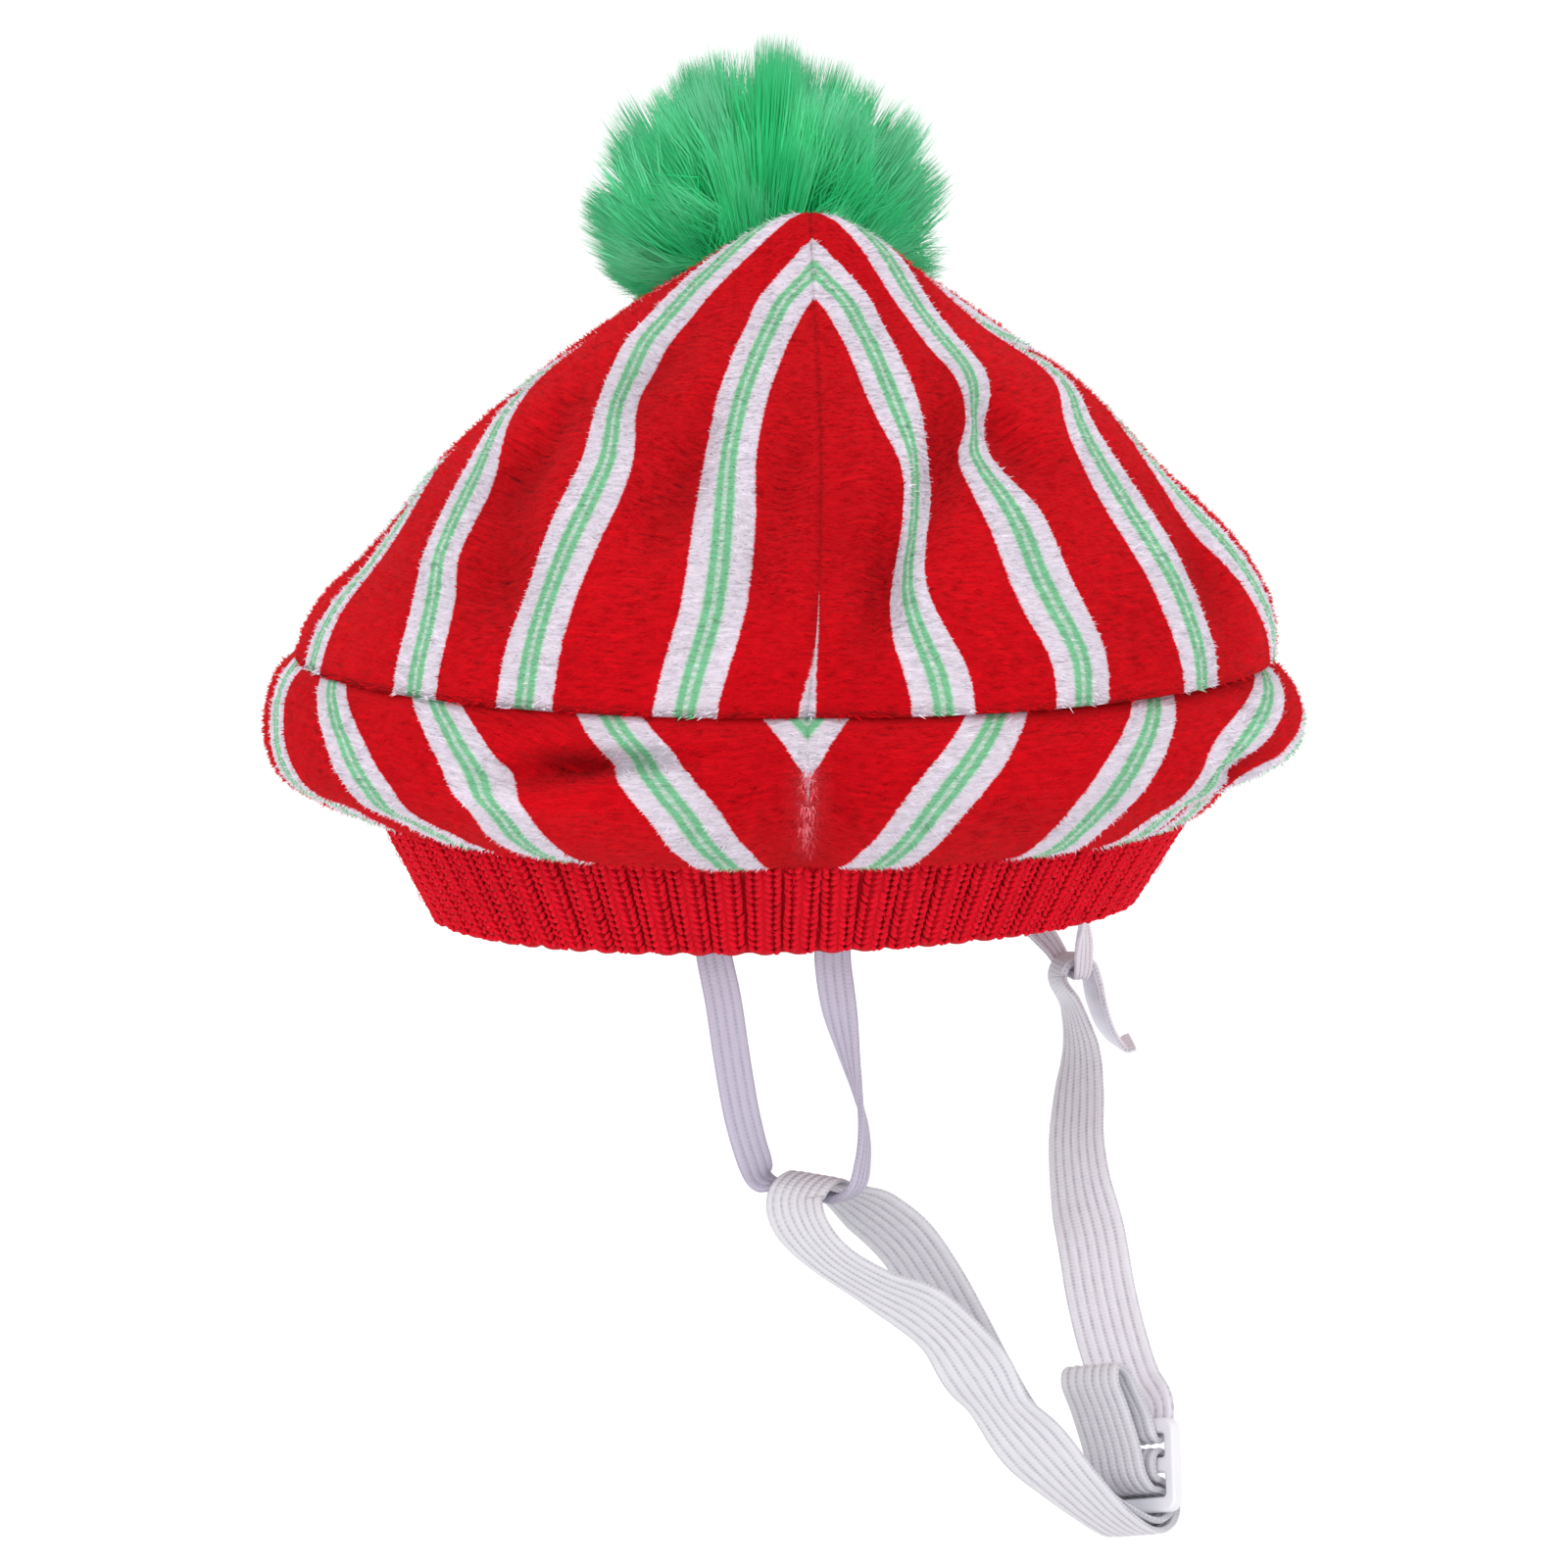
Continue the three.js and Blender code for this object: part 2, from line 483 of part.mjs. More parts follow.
function roundedRectangle(target, width, height, centreY, corner) {
  const right = width / 2;
  const top = centreY + height / 2;
  const bottom = centreY - height / 2;
  target.moveTo(-right + corner, bottom);
  target.lineTo(right - corner, bottom);
  target.absarc(right - corner, bottom + corner, corner, -Math.PI / 2, 0, false);
  target.lineTo(right, top - corner);
  target.absarc(right - corner, top - corner, corner, 0, Math.PI / 2, false);
  target.lineTo(-right + corner, top);
  target.absarc(-right + corner, top - corner, corner, Math.PI / 2, Math.PI, false);
  target.lineTo(-right, bottom + corner);
  target.absarc(-right + corner, bottom + corner, corner, Math.PI, Math.PI * 1.5, false);
  return target;
}

function strapSlide() {
  const plate = roundedRectangle(new THREE.Shape(), SLIDE.length, SLIDE.height, 0, SLIDE.corner);
  for (const side of [-1, 1]) {
    const slot = roundedRectangle(
      new THREE.Path(), SLIDE.slotLength, SLIDE.slotHeight, side * SLIDE.slotMiddle, SLIDE.slotCorner);
    plate.holes.push(slot);
  }
  const geometry = new THREE.ExtrudeGeometry(plate, {
    depth: SLIDE.thick - 2 * SLIDE.round,
    curveSegments: 2,
    bevelEnabled: true,
    bevelSegments: 1,
    bevelSize: SLIDE.round,
    bevelThickness: SLIDE.round,
    bevelOffset: -SLIDE.round,
  });
  geometry.translate(0, 0, SLIDE.round - SLIDE.thick / 2);
  const stand = new THREE.Matrix4().makeBasis(SLIDE.along, slideUp(), slideFace());
  stand.setPosition(SLIDE.centre);
  return geometry.applyMatrix4(stand);
}

function solidOf(geometry) {
  const bare = new THREE.BufferGeometry();
  bare.setAttribute('position', geometry.getAttribute('position').clone());
  if (geometry.index) {
    bare.setIndex(geometry.index.clone());
  }
  const joined = mergeVertices(bare, 1e-4);
  const mesh = new wasm.Mesh({
    numProp: 3,
    vertProperties: new Float32Array(joined.getAttribute('position').array),
    triVerts: new Uint32Array(joined.index.array),
  });
  return new wasm.Manifold(mesh);
}

function geometryOf(solid) {
  const mesh = solid.getMesh();
  const geometry = new THREE.BufferGeometry();
  geometry.setAttribute('position', new THREE.BufferAttribute(mesh.vertProperties, 3));
  geometry.setIndex(new THREE.BufferAttribute(mesh.triVerts, 1));
  return geometry;
}

// The upper crown as a filled block, a gap larger than the crown, for the pompom to rest on.
function crownSeat() {
  const turns = 40;
  const rings = 10;
  const lowest = 0.28;
  const floorZ = 40;
  const points = [];
  const triangles = [];
  for (let ring = 0; ring < rings; ring += 1) {
    const rise = lowest + (1 - lowest) * (ring / rings);
    for (let turn = 0; turn < turns; turn += 1) {
      const point = crownPoint((turn / turns) * 360, rise);
      points.push(point.setZ(point.z + GAP * 3));
    }
  }
  const tip = points.length;
  const top = crownPoint(0, 1);
  points.push(top.setZ(top.z + GAP * 3));
  const floor = points.length;
  for (let turn = 0; turn < turns; turn += 1) {
    points.push(points[turn].clone().setZ(floorZ));
  }
  points.push(new THREE.Vector3(0, 0, floorZ));
  const middle = points.length - 1;
  for (let turn = 0; turn < turns; turn += 1) {
    const next = (turn + 1) % turns;
    for (let ring = 0; ring < rings - 1; ring += 1) {
      const low = ring * turns;
      const high = low + turns;
      triangles.push(...quad(low + turn, low + next, high + next, high + turn));
    }
    const last = (rings - 1) * turns;
    triangles.push([last + turn, last + next, tip]);
    triangles.push(...quad(floor + turn, floor + next, next, turn));
    triangles.push([middle, floor + next, floor + turn]);
  }
  return geometryFrom(points, triangles);
}

// Fur locks spread evenly over the head, each a tapered cone from the core to the outline.
function pompom() {
  let head = solidOf(new THREE.IcosahedronGeometry(POMPOM_CORE, 3));
  const golden = Math.PI * (3 - Math.sqrt(5));
  const upright = new THREE.Vector3(0, 1, 0);
  for (let lock = 0; lock < LOCK_COUNT; lock += 1) {
    const height = 1 - (2 * (lock + 0.5)) / LOCK_COUNT;
    const ring = Math.sqrt(1 - height * height);
    const turn = lock * golden;
    const way = new THREE.Vector3(ring * Math.cos(turn), ring * Math.sin(turn), height);
    const reach = POMPOM_RADIUS + LOCK_VARY * Math.sin(lock * 2.4);
    const start = POMPOM_CORE * 0.72;
    const cone = new THREE.CylinderGeometry(LOCK_TIP, LOCK_ROOT, reach - start, LOCK_SIDES);
    const stand = new THREE.Quaternion().setFromUnitVectors(upright, way);
    cone.applyQuaternion(stand);
    cone.translate(...way.clone().multiplyScalar((reach + start) / 2).toArray());
    head = head.add(solidOf(cone));
  }
  head = head.translate([POMPOM.x, POMPOM.y, POMPOM.z]);
  const resting = head.subtract(solidOf(crownSeat()));
  const bodies = resting.decompose();
  bodies.sort((one, other) => other.volume() - one.volume());
  return geometryOf(bodies[0]);
}

function piece(name, geometry, colour, roughness) {
  const material = new THREE.MeshStandardMaterial({ color: colour, roughness, metalness: 0 });
  const mesh = new THREE.Mesh(geometry, material);
  mesh.name = name;
  return mesh;
}

const PLUSH = 0xd5202c;
const KNIT = 0xb4152a;
const FUR = 0x2fb778;
const ELASTIC = 0xd6d5db;
const NARROW_ELASTIC = 0xc6c0d2;
const PLASTIC = 0xdedce3;

const hat = new THREE.Group();
hat.name = 'pet_hat';
hat.add(piece('crown_gore_front_right', crownGore(0), PLUSH, 0.95));
hat.add(piece('crown_gore_back_right', crownGore(90), PLUSH, 0.95));
hat.add(piece('crown_gore_back_left', crownGore(180), PLUSH, 0.95));
hat.add(piece('crown_gore_front_left', crownGore(270), PLUSH, 0.95));
hat.add(piece('under_ring_right', underHalf(0), PLUSH, 0.95));
hat.add(piece('under_ring_left', underHalf(180), PLUSH, 0.95));
hat.add(piece('knit_band', knitBand(), KNIT, 0.9));
hat.add(piece('pompom', pompom(), FUR, 0.9));
hat.add(piece('near_loop', elastic(NEAR_LOOP_ROUTE, NARROW), NARROW_ELASTIC, 0.8));
hat.add(piece('far_loop', elastic(FAR_LOOP_ROUTE, NARROW), NARROW_ELASTIC, 0.8));
hat.add(piece('chin_strap', chinStrap(), ELASTIC, 0.8));
hat.add(piece('strap_slide', strapSlide(), PLASTIC, 0.35));

export default hat;
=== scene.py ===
"""Looks of a small plush pet hat: striped crown, under ring, knit band, pompom and elastic chin strap.

Shapes are worked out in millimetres. Turn 0 is the front of the hat and turn 90 its right side.
"""
import math

import bpy
import numpy as np
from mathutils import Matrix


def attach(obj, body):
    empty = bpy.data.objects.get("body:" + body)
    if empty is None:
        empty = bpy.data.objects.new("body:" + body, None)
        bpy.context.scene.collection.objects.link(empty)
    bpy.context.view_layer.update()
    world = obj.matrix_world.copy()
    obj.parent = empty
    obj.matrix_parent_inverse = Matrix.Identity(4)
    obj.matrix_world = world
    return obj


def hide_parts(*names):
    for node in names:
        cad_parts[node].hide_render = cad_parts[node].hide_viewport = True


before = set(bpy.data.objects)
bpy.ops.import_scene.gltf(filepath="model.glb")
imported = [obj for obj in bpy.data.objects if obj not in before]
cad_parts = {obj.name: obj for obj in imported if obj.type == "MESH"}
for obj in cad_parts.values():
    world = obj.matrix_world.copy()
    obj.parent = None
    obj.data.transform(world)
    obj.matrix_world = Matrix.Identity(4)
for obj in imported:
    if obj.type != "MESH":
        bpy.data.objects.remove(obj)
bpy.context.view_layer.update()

MM = 0.001

# Crown, as in the solids
LIP_RADIUS = 66.5
LIP_Z = 35.8
LIP_FRONT_DROP = 1.9
CROWN_RISE = 60
CROWN_POWER = 0.625
CROWN_SPACING = 1.35
CROWN_LEAN_X = 3.4
CROWN_LEAN_RATE = 4
TIP_BACK = 12
TIP_SINK = 12
TIP_SINK_REACH = 10
TIP_STOP = 0.965
PEAK_X, PEAK_Y, PEAK_RISE, PEAK_HALF_WIDTH, PEAK_HALF_DEPTH = 3.2, -3, 6.5, 12, 7
# Shares of a swell or dent that go outwards and upwards, and how soon above the lip the second sets in
CHANGE_OUT, CHANGE_UP, CHANGE_UP_RATE = 0.75, 0.66, 6
LIP_TUCK = 0.6
LIP_TUCK_REACH = 0.05
SEAM_DIP = 1.1
SEAM_DIP_REACH = 3
GORE_SWELL = 0.9
CLOTH_WALL = 1.7
CLOTH_SINK = 0.35
SEAM_LAP = 0.12
HEM = 0.03
HEM_IN = 2.4
HEM_DROP = 0.7
HEM_ROWS, GORE_ROWS, GORE_COLUMNS = 4, 62, 64

# Folds and broad dents in the crown: turn, rise, half turn, half rise, lean in turn per rise, depth
# The folds, not the broad dents, are also painted darker in their hollows: painted shade.
CROWN_FOLDS = (
    (8, 0.22, 2.8, 0.16, 12, 2.8),
    (21, 0.45, 3.6, 0.14, 50, 2.8),
    (35, 0.47, 4.5, 0.1, 0, 2.6),
    (3, 0.3, 2.6, 0.14, 0, 1.2),
    (-6, 0.38, 4, 0.16, 12, 1.8),
    (-22, 0.42, 4.5, 0.15, 0, 2.8),
    (-53, 0.4, 6, 0.14, -30, 3.2),
    (-43, 0.2, 5, 0.1, -30, 2.6),
    (-42, 0.63, 10, 0.1, 0, 2.0),
    (60, 0.17, 5, 0.12, 20, 2.4),
    (40, 0.1, 6, 0.08, 0, 1.4),
    (118, 0.3, 8, 0.22, -40, 2.4),
    (163, 0.25, 7, 0.2, 30, 2.0),
    (207, 0.36, 9, 0.2, -25, 2.4),
    (248, 0.22, 7, 0.18, 35, 2.0),
)
CROWN_DENTS = (
    (72, 0.7, 26, 0.1, 0, 2.4),
    (88, 0.36, 16, 0.12, 0, 2.2),
    (270, 0.2, 30, 0.14, 0, 2.4),
)

# Under ring, as in the solids
UNDER_INNER = 52
UNDER_REACH = 17.9
UNDER_MID_Z = 26.1
UNDER_HALF_HEIGHT = 13
UNDER_START = -90
UNDER_END = 44
UNDER_POWER = 0.84
UNDER_POWER_SWAY = 0.2
PINCH_DEPTH = 1.6
PINCH_REACH = 7
UNDER_TURN_IN = 1.18
UNDER_LIP_GAP = 0.6
UNDER_ROWS, UNDER_COLUMNS = 56, 120

# Folds and broad dents in the under ring: turn, angle on the profile, half turn, half angle, depth
# The folds and the seams' pinch are also painted: painted shade in their hollows, painted light where a
# fold bulges out.
UNDER_FOLDS = (
    (-29.5, 4, 4.5, 7, 2.4),
    (-25, 13, 5, 6.5, 4.4),
    (-18, 20, 6, 6.5, 3.0),
    (-31, -12, 9, 10, -1.6),
    (24, -30, 9, 30, 1.2),
    (57, -10, 5, 9, 2.2),
    (128, -10, 12, 30, 1.8),
    (214, -20, 10, 30, 1.8),
    (252, 4, 14, 18, 1.6),
)
UNDER_DENTS = (
    (76, -46, 34, 24, 4.2),
    (-62, -58, 26, 26, 2.6),
)

# Print: a white stripe with a pale green core, two green lines and a dotted middle, on a red ground
STRIPES = 5
STRIPE_HALF = 4.1
STRIPE_EDGE = 5.0
STRIPE_PITCH = 20.0
EDGE_BLUR = 0.12
BLUSH_IN, BLUSH_OUT = 0.5, 0.3
PALE_CORE = (1.35, 1.7)
LINE_STARTS, LINE_ENDS = (0.15, 0.45), (1.05, 1.5)
MIDDLE_LINE = (0.1, 0.4)
DOT_PITCH = 1.05
SEAM_STITCH = 1.7
BACKING_LOOP = (0.9, 0.7)
# Painted shade: how much darker the cloth is painted per millimetre of a fold's depth
FOLD_SHADE = 1.25
FAR_FROM_SEAM = 9
# Stripes are slimmer towards the tip: share, where it starts and over what rise
TIP_NARROWING, NARROWING_FROM, NARROWING_RISE = 0.35, 0.35, 0.4
# Stripes drawn into folds of the front right gore: stripe, rise, half rise, how far left and right
GATHERS = ((2, 0.3, 0.14, 2.0, 1.0), (3, 0.5, 0.1, 1.1, 0.7))
# Middles of the crown's stripes, by rise, in degrees from the front or back seam
LEFT_STRIPES = (
    (0.00, -2.5, 13.4, 32, 47.6, 72.5),
    (0.06, -2.9, 13, 32.5, 48.4, 73.5),
    (0.10, -3.2, 12.7, 33, 49.2, 75),
    (0.16, -3.5, 12.4, 33.6, 51.8, 77),
    (0.22, -4, 12.7, 34, 56, 79),
    (0.28, -5.6, 13.2, 34.4, 58.6, 81.5),
    (0.33, -8, 13.8, 34.6, 60.8, 85),
    (0.38, -9.8, 14.5, 35, 63.4, 91),
    (0.43, -10.5, 15.4, 36, 68, 98),
    (0.48, -11, 15.9, 38.8, 75, 106),
    (0.57, -12, 16.2, 46, 88, 125),
    (0.67, -25, 14.8, 52.6, 100, 140),
    (0.76, -50, 11.5, 52, 104, 150),
    (0.80, -70, 0, 48, 104, 150),
    (0.83, -90, -16, 41, 100, 150),
    (0.86, -120, -38, 31, 96, 150),
    (0.89, -150, -70, 20, 90, 150),
    (0.96, -200, -140, -40, 60, 140),
)
RIGHT_STRIPES = (
    (0.00, -2.5, 15.2, 32.2, 51.5, 78),
    (0.06, -3.3, 13.7, 31.8, 50.8, 76),
    (0.10, -3.6, 12.3, 30.8, 50.4, 74.5),
    (0.15, -3.9, 11.1, 29.3, 50.2, 73),
    (0.20, -4.8, 10.6, 28.4, 49.8, 71.8),
    (0.25, -6, 11.2, 28.2, 49.4, 70.6),
    (0.30, -7.6, 12.4, 28.2, 49.2, 69.8),
    (0.35, -9, 13.9, 27.7, 49.8, 70.6),
    (0.40, -10, 15.2, 26.4, 51, 72.5),
    (0.45, -10.8, 15.8, 26.2, 53, 78),
    (0.50, -11.2, 15.5, 30.4, 57.5, 86),
    (0.56, -12, 15.2, 35.4, 69, 97),
    (0.61, -17, 15, 37.8, 78, 108),
    (0.67, -25, 14.6, 38.2, 88, 120),
    (0.76, -50, 12.2, 39.5, 96, 140),
    (0.80, -70, 2, 39.5, 96, 140),
    (0.83, -90, -15, 39, 96, 140),
    (0.86, -120, -37, 32, 90, 140),
    (0.89, -150, -70, 20, 84, 140),
    (0.96, -200, -140, -40, 60, 130),
)
# Middles of the under ring's stripes, by the way from band to lip, in degrees from its seams
UNDER_LEFT_STRIPES = (
    (0.00, -4.45, 8.6, 33, 50, 73),
    (0.25, -3.75, 9.6, 33, 50.5, 73),
    (0.55, -3.3, 12.8, 33.6, 52.5, 74),
    (0.75, -2.9, 16.4, 37.4, 56.5, 76),
    (0.90, -1.4, 19.4, 41, 61, 79),
    (1.00, 0.1, 21.4, 44, 64.5, 81),
    (1.12, 1.9, 23.8, 47.4, 68.5, 83.5),
)
UNDER_RIGHT_STRIPES = (
    (0.00, -4.45, 8.6, 33, 50, 61),
    (0.25, -3.75, 9.6, 33, 50, 61.5),
    (0.45, -3.45, 11.7, 33.3, 50, 65.5),
    (0.50, -3.37, 12.3, 33.6, 50.4, 69),
    (0.55, -3.3, 12.9, 34.1, 51, 73.5),
    (0.62, -3.16, 14, 35, 52.3, 79.5),
    (0.70, -3, 15.4, 36.4, 54.5, 85.5),
    (0.75, -2.9, 16.4, 37.4, 56.8, 89),
    (0.82, -2.2, 17.8, 39.1, 61.4, 93),
    (0.90, -1.4, 19.4, 41.2, 67.6, 97),
    (1.00, 0.1, 21.4, 44, 75.5, 101),
    (1.12, 1.9, 23.8, 47.4, 82, 105),
)

# Pile of the plush
PILE_LENGTH = 1.1
PILE_WIDTH = 0.14
PILE_FLATNESS = 0.3
PILE_LEAN, PILE_LEAN_SPREAD, PILE_LEAN_RANGE = 62, 9, (25, 80)
PILE_HEADING_SPREAD = 0.45
PILE_ROOT_DEPTH = 0.1
FOOT_HEIGHT = 0.2
# Height that the print counts on the outer and the inner face of the cloth
FACE_HEIGHTS = (0.3, -1.0)
GORE_BLADES = 14000
UNDER_BLADES = 18000
GORE_NAP = (-15, -20, 200, 195)
UNDER_NAP = (-20, 200)

# Worn streak and wisps at the under ring's seams, by the way from band to lip
STREAK_HALF_WIDTH = 1.2
STREAK_STARTS, STREAK_ENDS = (0.1, 0.6), (0.74, 0.84)
STREAK_ON_CLOTH = 0.35
FLUFF_FROM, FLUFF_TO = 0.25, 0.78
FLUFF_HALF_TURN, FLUFF_PALE_TURN = 0.75, 0.8
FLUFF_BLADES, FLUFF_SCALE, FLUFF_NAP = 120, 1.1, -90

# Knit band, as in the solids
BAND_RIBS = 66
BAND_HEIGHT = 12.8
BAND_TOP_RADIUS = 53.2
BAND_RIM_RADIUS = 46.2
BAND_WALL = 2.6
MOUTH_LIFT_RIGHT = 1.2
MOUTH_LIFT_FRONT = 1.2
BAND_TUCK = 1.4
BAND_SINK = 0.05
RIM_ROUND = 1.1
RIB_POINTS = 8
RIB_RELIEF, RIB_POWER = 0.55, 0.7
RIB_HANG, RIB_HANG_REACH = 0.4, 1.6
MIDDLE_RADIUS = 50
STITCH_ROWS = 14
STITCH_PITCH = 0.94
STITCH_START = 0.55
WALE_ASIDE, LEG_ASIDE, LEG_TILT = 1.14, 0.55, 36
STITCH_OUT, STITCH_CURVE = 0.36, 0.1
STITCH_HALF_LENGTH, STITCH_HALF_WIDTH, STITCH_HALF_DEPTH = 0.82, 0.4, 0.4
STITCH_SIDES = 5
# Rings of a stitch's leg: place along it, fatness and bow
STITCH_RINGS = ((-1.0, 0.12, -0.3), (-0.5, 0.85, 0.06), (0.4, 1.0, 0.12), (1.0, 0.15, -0.25))
LOOSE_FIBRES = 220
FIBRE_RADIUS, FIBRE_POINTS = 0.045, 7

# Pompom
POMPOM = np.array((-1.5, 27.0, 89.8))
FUR_REACH = 25.8
LOW_LEFT_SHORTER = 0.25
POMPOM_CORE = 13.0
LONG_STRANDS = 10000
SHORT_STRANDS = 30000
FUR_LOCKS = 210
FUR_SOURCE = np.array((0, 1.0, -14.0))
FUR_ROUNDNESS = 0.4
FUR_CLEAR, INNER_CLEAR = 0.8, 1.0
FUR_LIGHT_CENTRE = POMPOM + (0, 0, -3)
LONG_FEET, SHORT_FEET = (0.3, 0.55), (0.3, 0.7)
FOOT_RADIUS, KNEE_RADIUS = 0.17, 0.13
KNEE, KNEE_BEND, KNEE_RISE = 0.55, 11, 0.7
CORE_RINGS, CORE_SIDES = 31, 64
MAP_HALF = 80

# Elastics: width, thickness and ribs, and stations to each row of a route
NARROW, WIDE = (4.7, 0.9, 4), (9.4, 1.0, 7)
LOOP_STATIONS, STRAP_STATIONS = 10, 6
RIB_STEPS, EDGE_POWER, GROOVE = 4, 10, 0.24
# Lengths from which an elastic is painted paler: painted light where the hat keeps light off
NO_PAINTED_LIGHT, ALL_PAINTED_LIGHT, PAINTED_LIGHT_PAST_SLIDE = 1000, -20, 196
PAINTED_LIGHT_BLEND = 12

# Slide
SLIDE_CENTRE = np.array((45.5, -25.0, -71.2))
SLIDE_ALONG = np.array((0.74, -0.64, 0.21))
SLIDE_RISE = np.array((-0.01, 0.3, 0.954))
SLIDE_LENGTH, SLIDE_HEIGHT, SLIDE_THICK = 14, 12.4, 2
SLOT_LENGTH, SLOT_HEIGHT, SLOT_MIDDLE = 10.8, 3.2, 2.6
SLIDE_CORNER, SLOT_CORNER, SLIDE_ROUND = 1.8, 0.5, 0.45

# Routes of the elastics: middle line x, y, z, direction of the width x, y, z, and gather
NEAR_LOOP_ROUTE = (
    (-12.1, -45.6, 9, 0.97, -0.25, 0, 1),
    (-11.4, -43.4, 5, 0.97, -0.25, 0, 1),
    (-10.8, -40.6, 0.5, 0.97, -0.25, 0, 1),
    (-9.6, -41.2, -5.5, 0.99, -0.1, 0.1, 1),
    (-8.5, -41.7, -13, 1, 0.05, 0.1, 1),
    (-7.2, -42, -20.5, 0.98, 0.2, 0.15, 1),
    (-5.6, -40.4, -26.4, 0.88, 0.46, 0.1, 1),
    (-4.1, -37.3, -29.7, 0.75, 0.64, 0, 0.82),
    (-1.3, -37.8, -30.8, 0.69, 0.72, 0, 0.72),
    (2, -41, -30.7, 0.69, 0.72, 0, 0.66),
    (5.2, -44.2, -30.8, 0.69, 0.72, 0, 0.7),
    (7.3, -45.9, -29, 0.6, 0.8, 0, 0.88),
    (8.2, -45.2, -25.4, 0.4, 0.92, 0, 1),
    (8.3, -43.8, -21.5, 0.18, 0.98, 0, 1),
    (7.6, -42.6, -17.4, -0.12, 0.99, 0, 1),
    (6.4, -42, -12, -0.6, 0.8, 0, 1),
    (5.1, -41.9, -5.5, -0.95, 0.25, 0, 1),
    (4.4, -41.6, 0.5, -1, -0.1, 0, 1),
    (4.7, -44.5, 5, -1, -0.1, 0, 1),
    (4.9, -47, 9, -1, -0.1, 0, 1),
)
FAR_LOOP_ROUTE = (
    (34.6, 32.2, 9, 0.68, -0.73, 0, 1),
    (32.9, 30.6, 5, 0.68, -0.73, 0, 1),
    (30.9, 28.8, 0.5, 0.7, -0.7, 0, 1),
    (34.8, 26.6, -4.6, 0.9, -0.2, 0.3, 0.9),
    (38.6, 24.4, -9.4, 0.9, 0.3, 0.2, 0.66),
    (40.3, 22.8, -12.1, 0.95, 0.3, 0, 0.5),
    (41.1, 20.4, -12.2, 0.95, 0.3, 0, 0.5),
    (41.9, 18, -12.1, 0.95, 0.3, 0, 0.5),
    (42, 16.2, -9, 0.8, 0.6, 0, 0.66),
    (41.6, 14, -4.6, 0.3, 0.95, 0, 0.9),
    (40.4, 11.7, 0.5, -0.25, 0.97, 0, 1),
    (43, 12.3, 5, -0.28, 0.96, 0, 1),
    (45.4, 13, 9, -0.28, 0.96, 0, 1),
)
# Stretches round the slide's bars: out of its face, and up across its bars
SEWN_END = (
    (-1.9, -0.8), (-1.75, 0.75), (-0.75, 1.75), (0.75, 1.75), (1.75, 0.75), (1.75, -0.75), (0.9, -1.75),
    (-0.4, -2), (-1.9, -2.6), (-3, -4.1), (-3.2, -5.9), (-2.3, -7.5), (-0.6, -8.4), (2, -8.5),
)
SLACK_RUN = (
    (2, -7.2), (-0.2, -7.1), (-1.5, -6.4), (-1.95, -5.1), (-1.4, -3.8), (-0.2, -3.3), (2, -3),
    (3.9, -1.4), (5.2, 2.5), (7.4, 7.2), (9.4, 11), (8.9, 12.7), (7, 12.3), (4.6, 9.4), (2.6, 6.6),
    (1.9, 5), (1.2, 3.75), (0, 3.25), (-1.2, 3.75), (-1.95, 5.2), (-2.5, 7.2),
)
FRONT_RUN = (
    (40.6, -31.4, -76, 0.72, -0.64, 0.25, 1),
    (35.8, -34.2, -71, 0.66, -0.55, 0.5, 1),
    (30.9, -36.4, -65.4, 0.68, -0.3, 0.66, 1),
    (26.4, -38.4, -59.6, 0.62, -0.58, 0.5, 1),
    (23.2, -40, -54.6, 0.72, -0.25, 0.64, 1),
    (20, -41.8, -49.8, 0.6, -0.52, 0.6, 1),
    (15.4, -43.8, -45.4, 0.46, -0.56, 0.69, 1),
    (9.6, -45.6, -42, 0.36, -0.74, 0.56, 1),
    (3.9, -46.2, -38.2, 0.5, -0.76, 0.42, 1),
    (0.5, -45.2, -34.4, 0.66, -0.7, 0.24, 1),
    (-0.5, -43.6, -31.3, 0.72, -0.69, 0.03, 1),
    (0.2, -42.8, -29.7, 0.72, -0.69, 0, 1),
    (2, -41, -28.7, 0.72, -0.69, 0, 1),
    (3.8, -39.2, -29.6, 0.72, -0.69, 0, 1),
    (5.8, -38, -31.3, 0.7, -0.69, 0.15, 1),
    (9.6, -37, -34, 0.66, -0.54, 0.52, 1),
    (14, -36, -38, 0.64, -0.48, 0.6, 1),
    (17.8, -35.4, -43.6, 0.66, -0.48, 0.58, 1),
    (20.8, -35, -49, 0.66, -0.5, 0.56, 1),
    (24.2, -34.4, -55.4, 0.64, -0.54, 0.54, 1),
    (28, -33.8, -61.8, 0.62, -0.6, 0.5, 1),
    (33, -32.8, -68, 0.64, -0.64, 0.42, 1),
    (38.8, -31, -74, 0.7, -0.66, 0.25, 1),
)
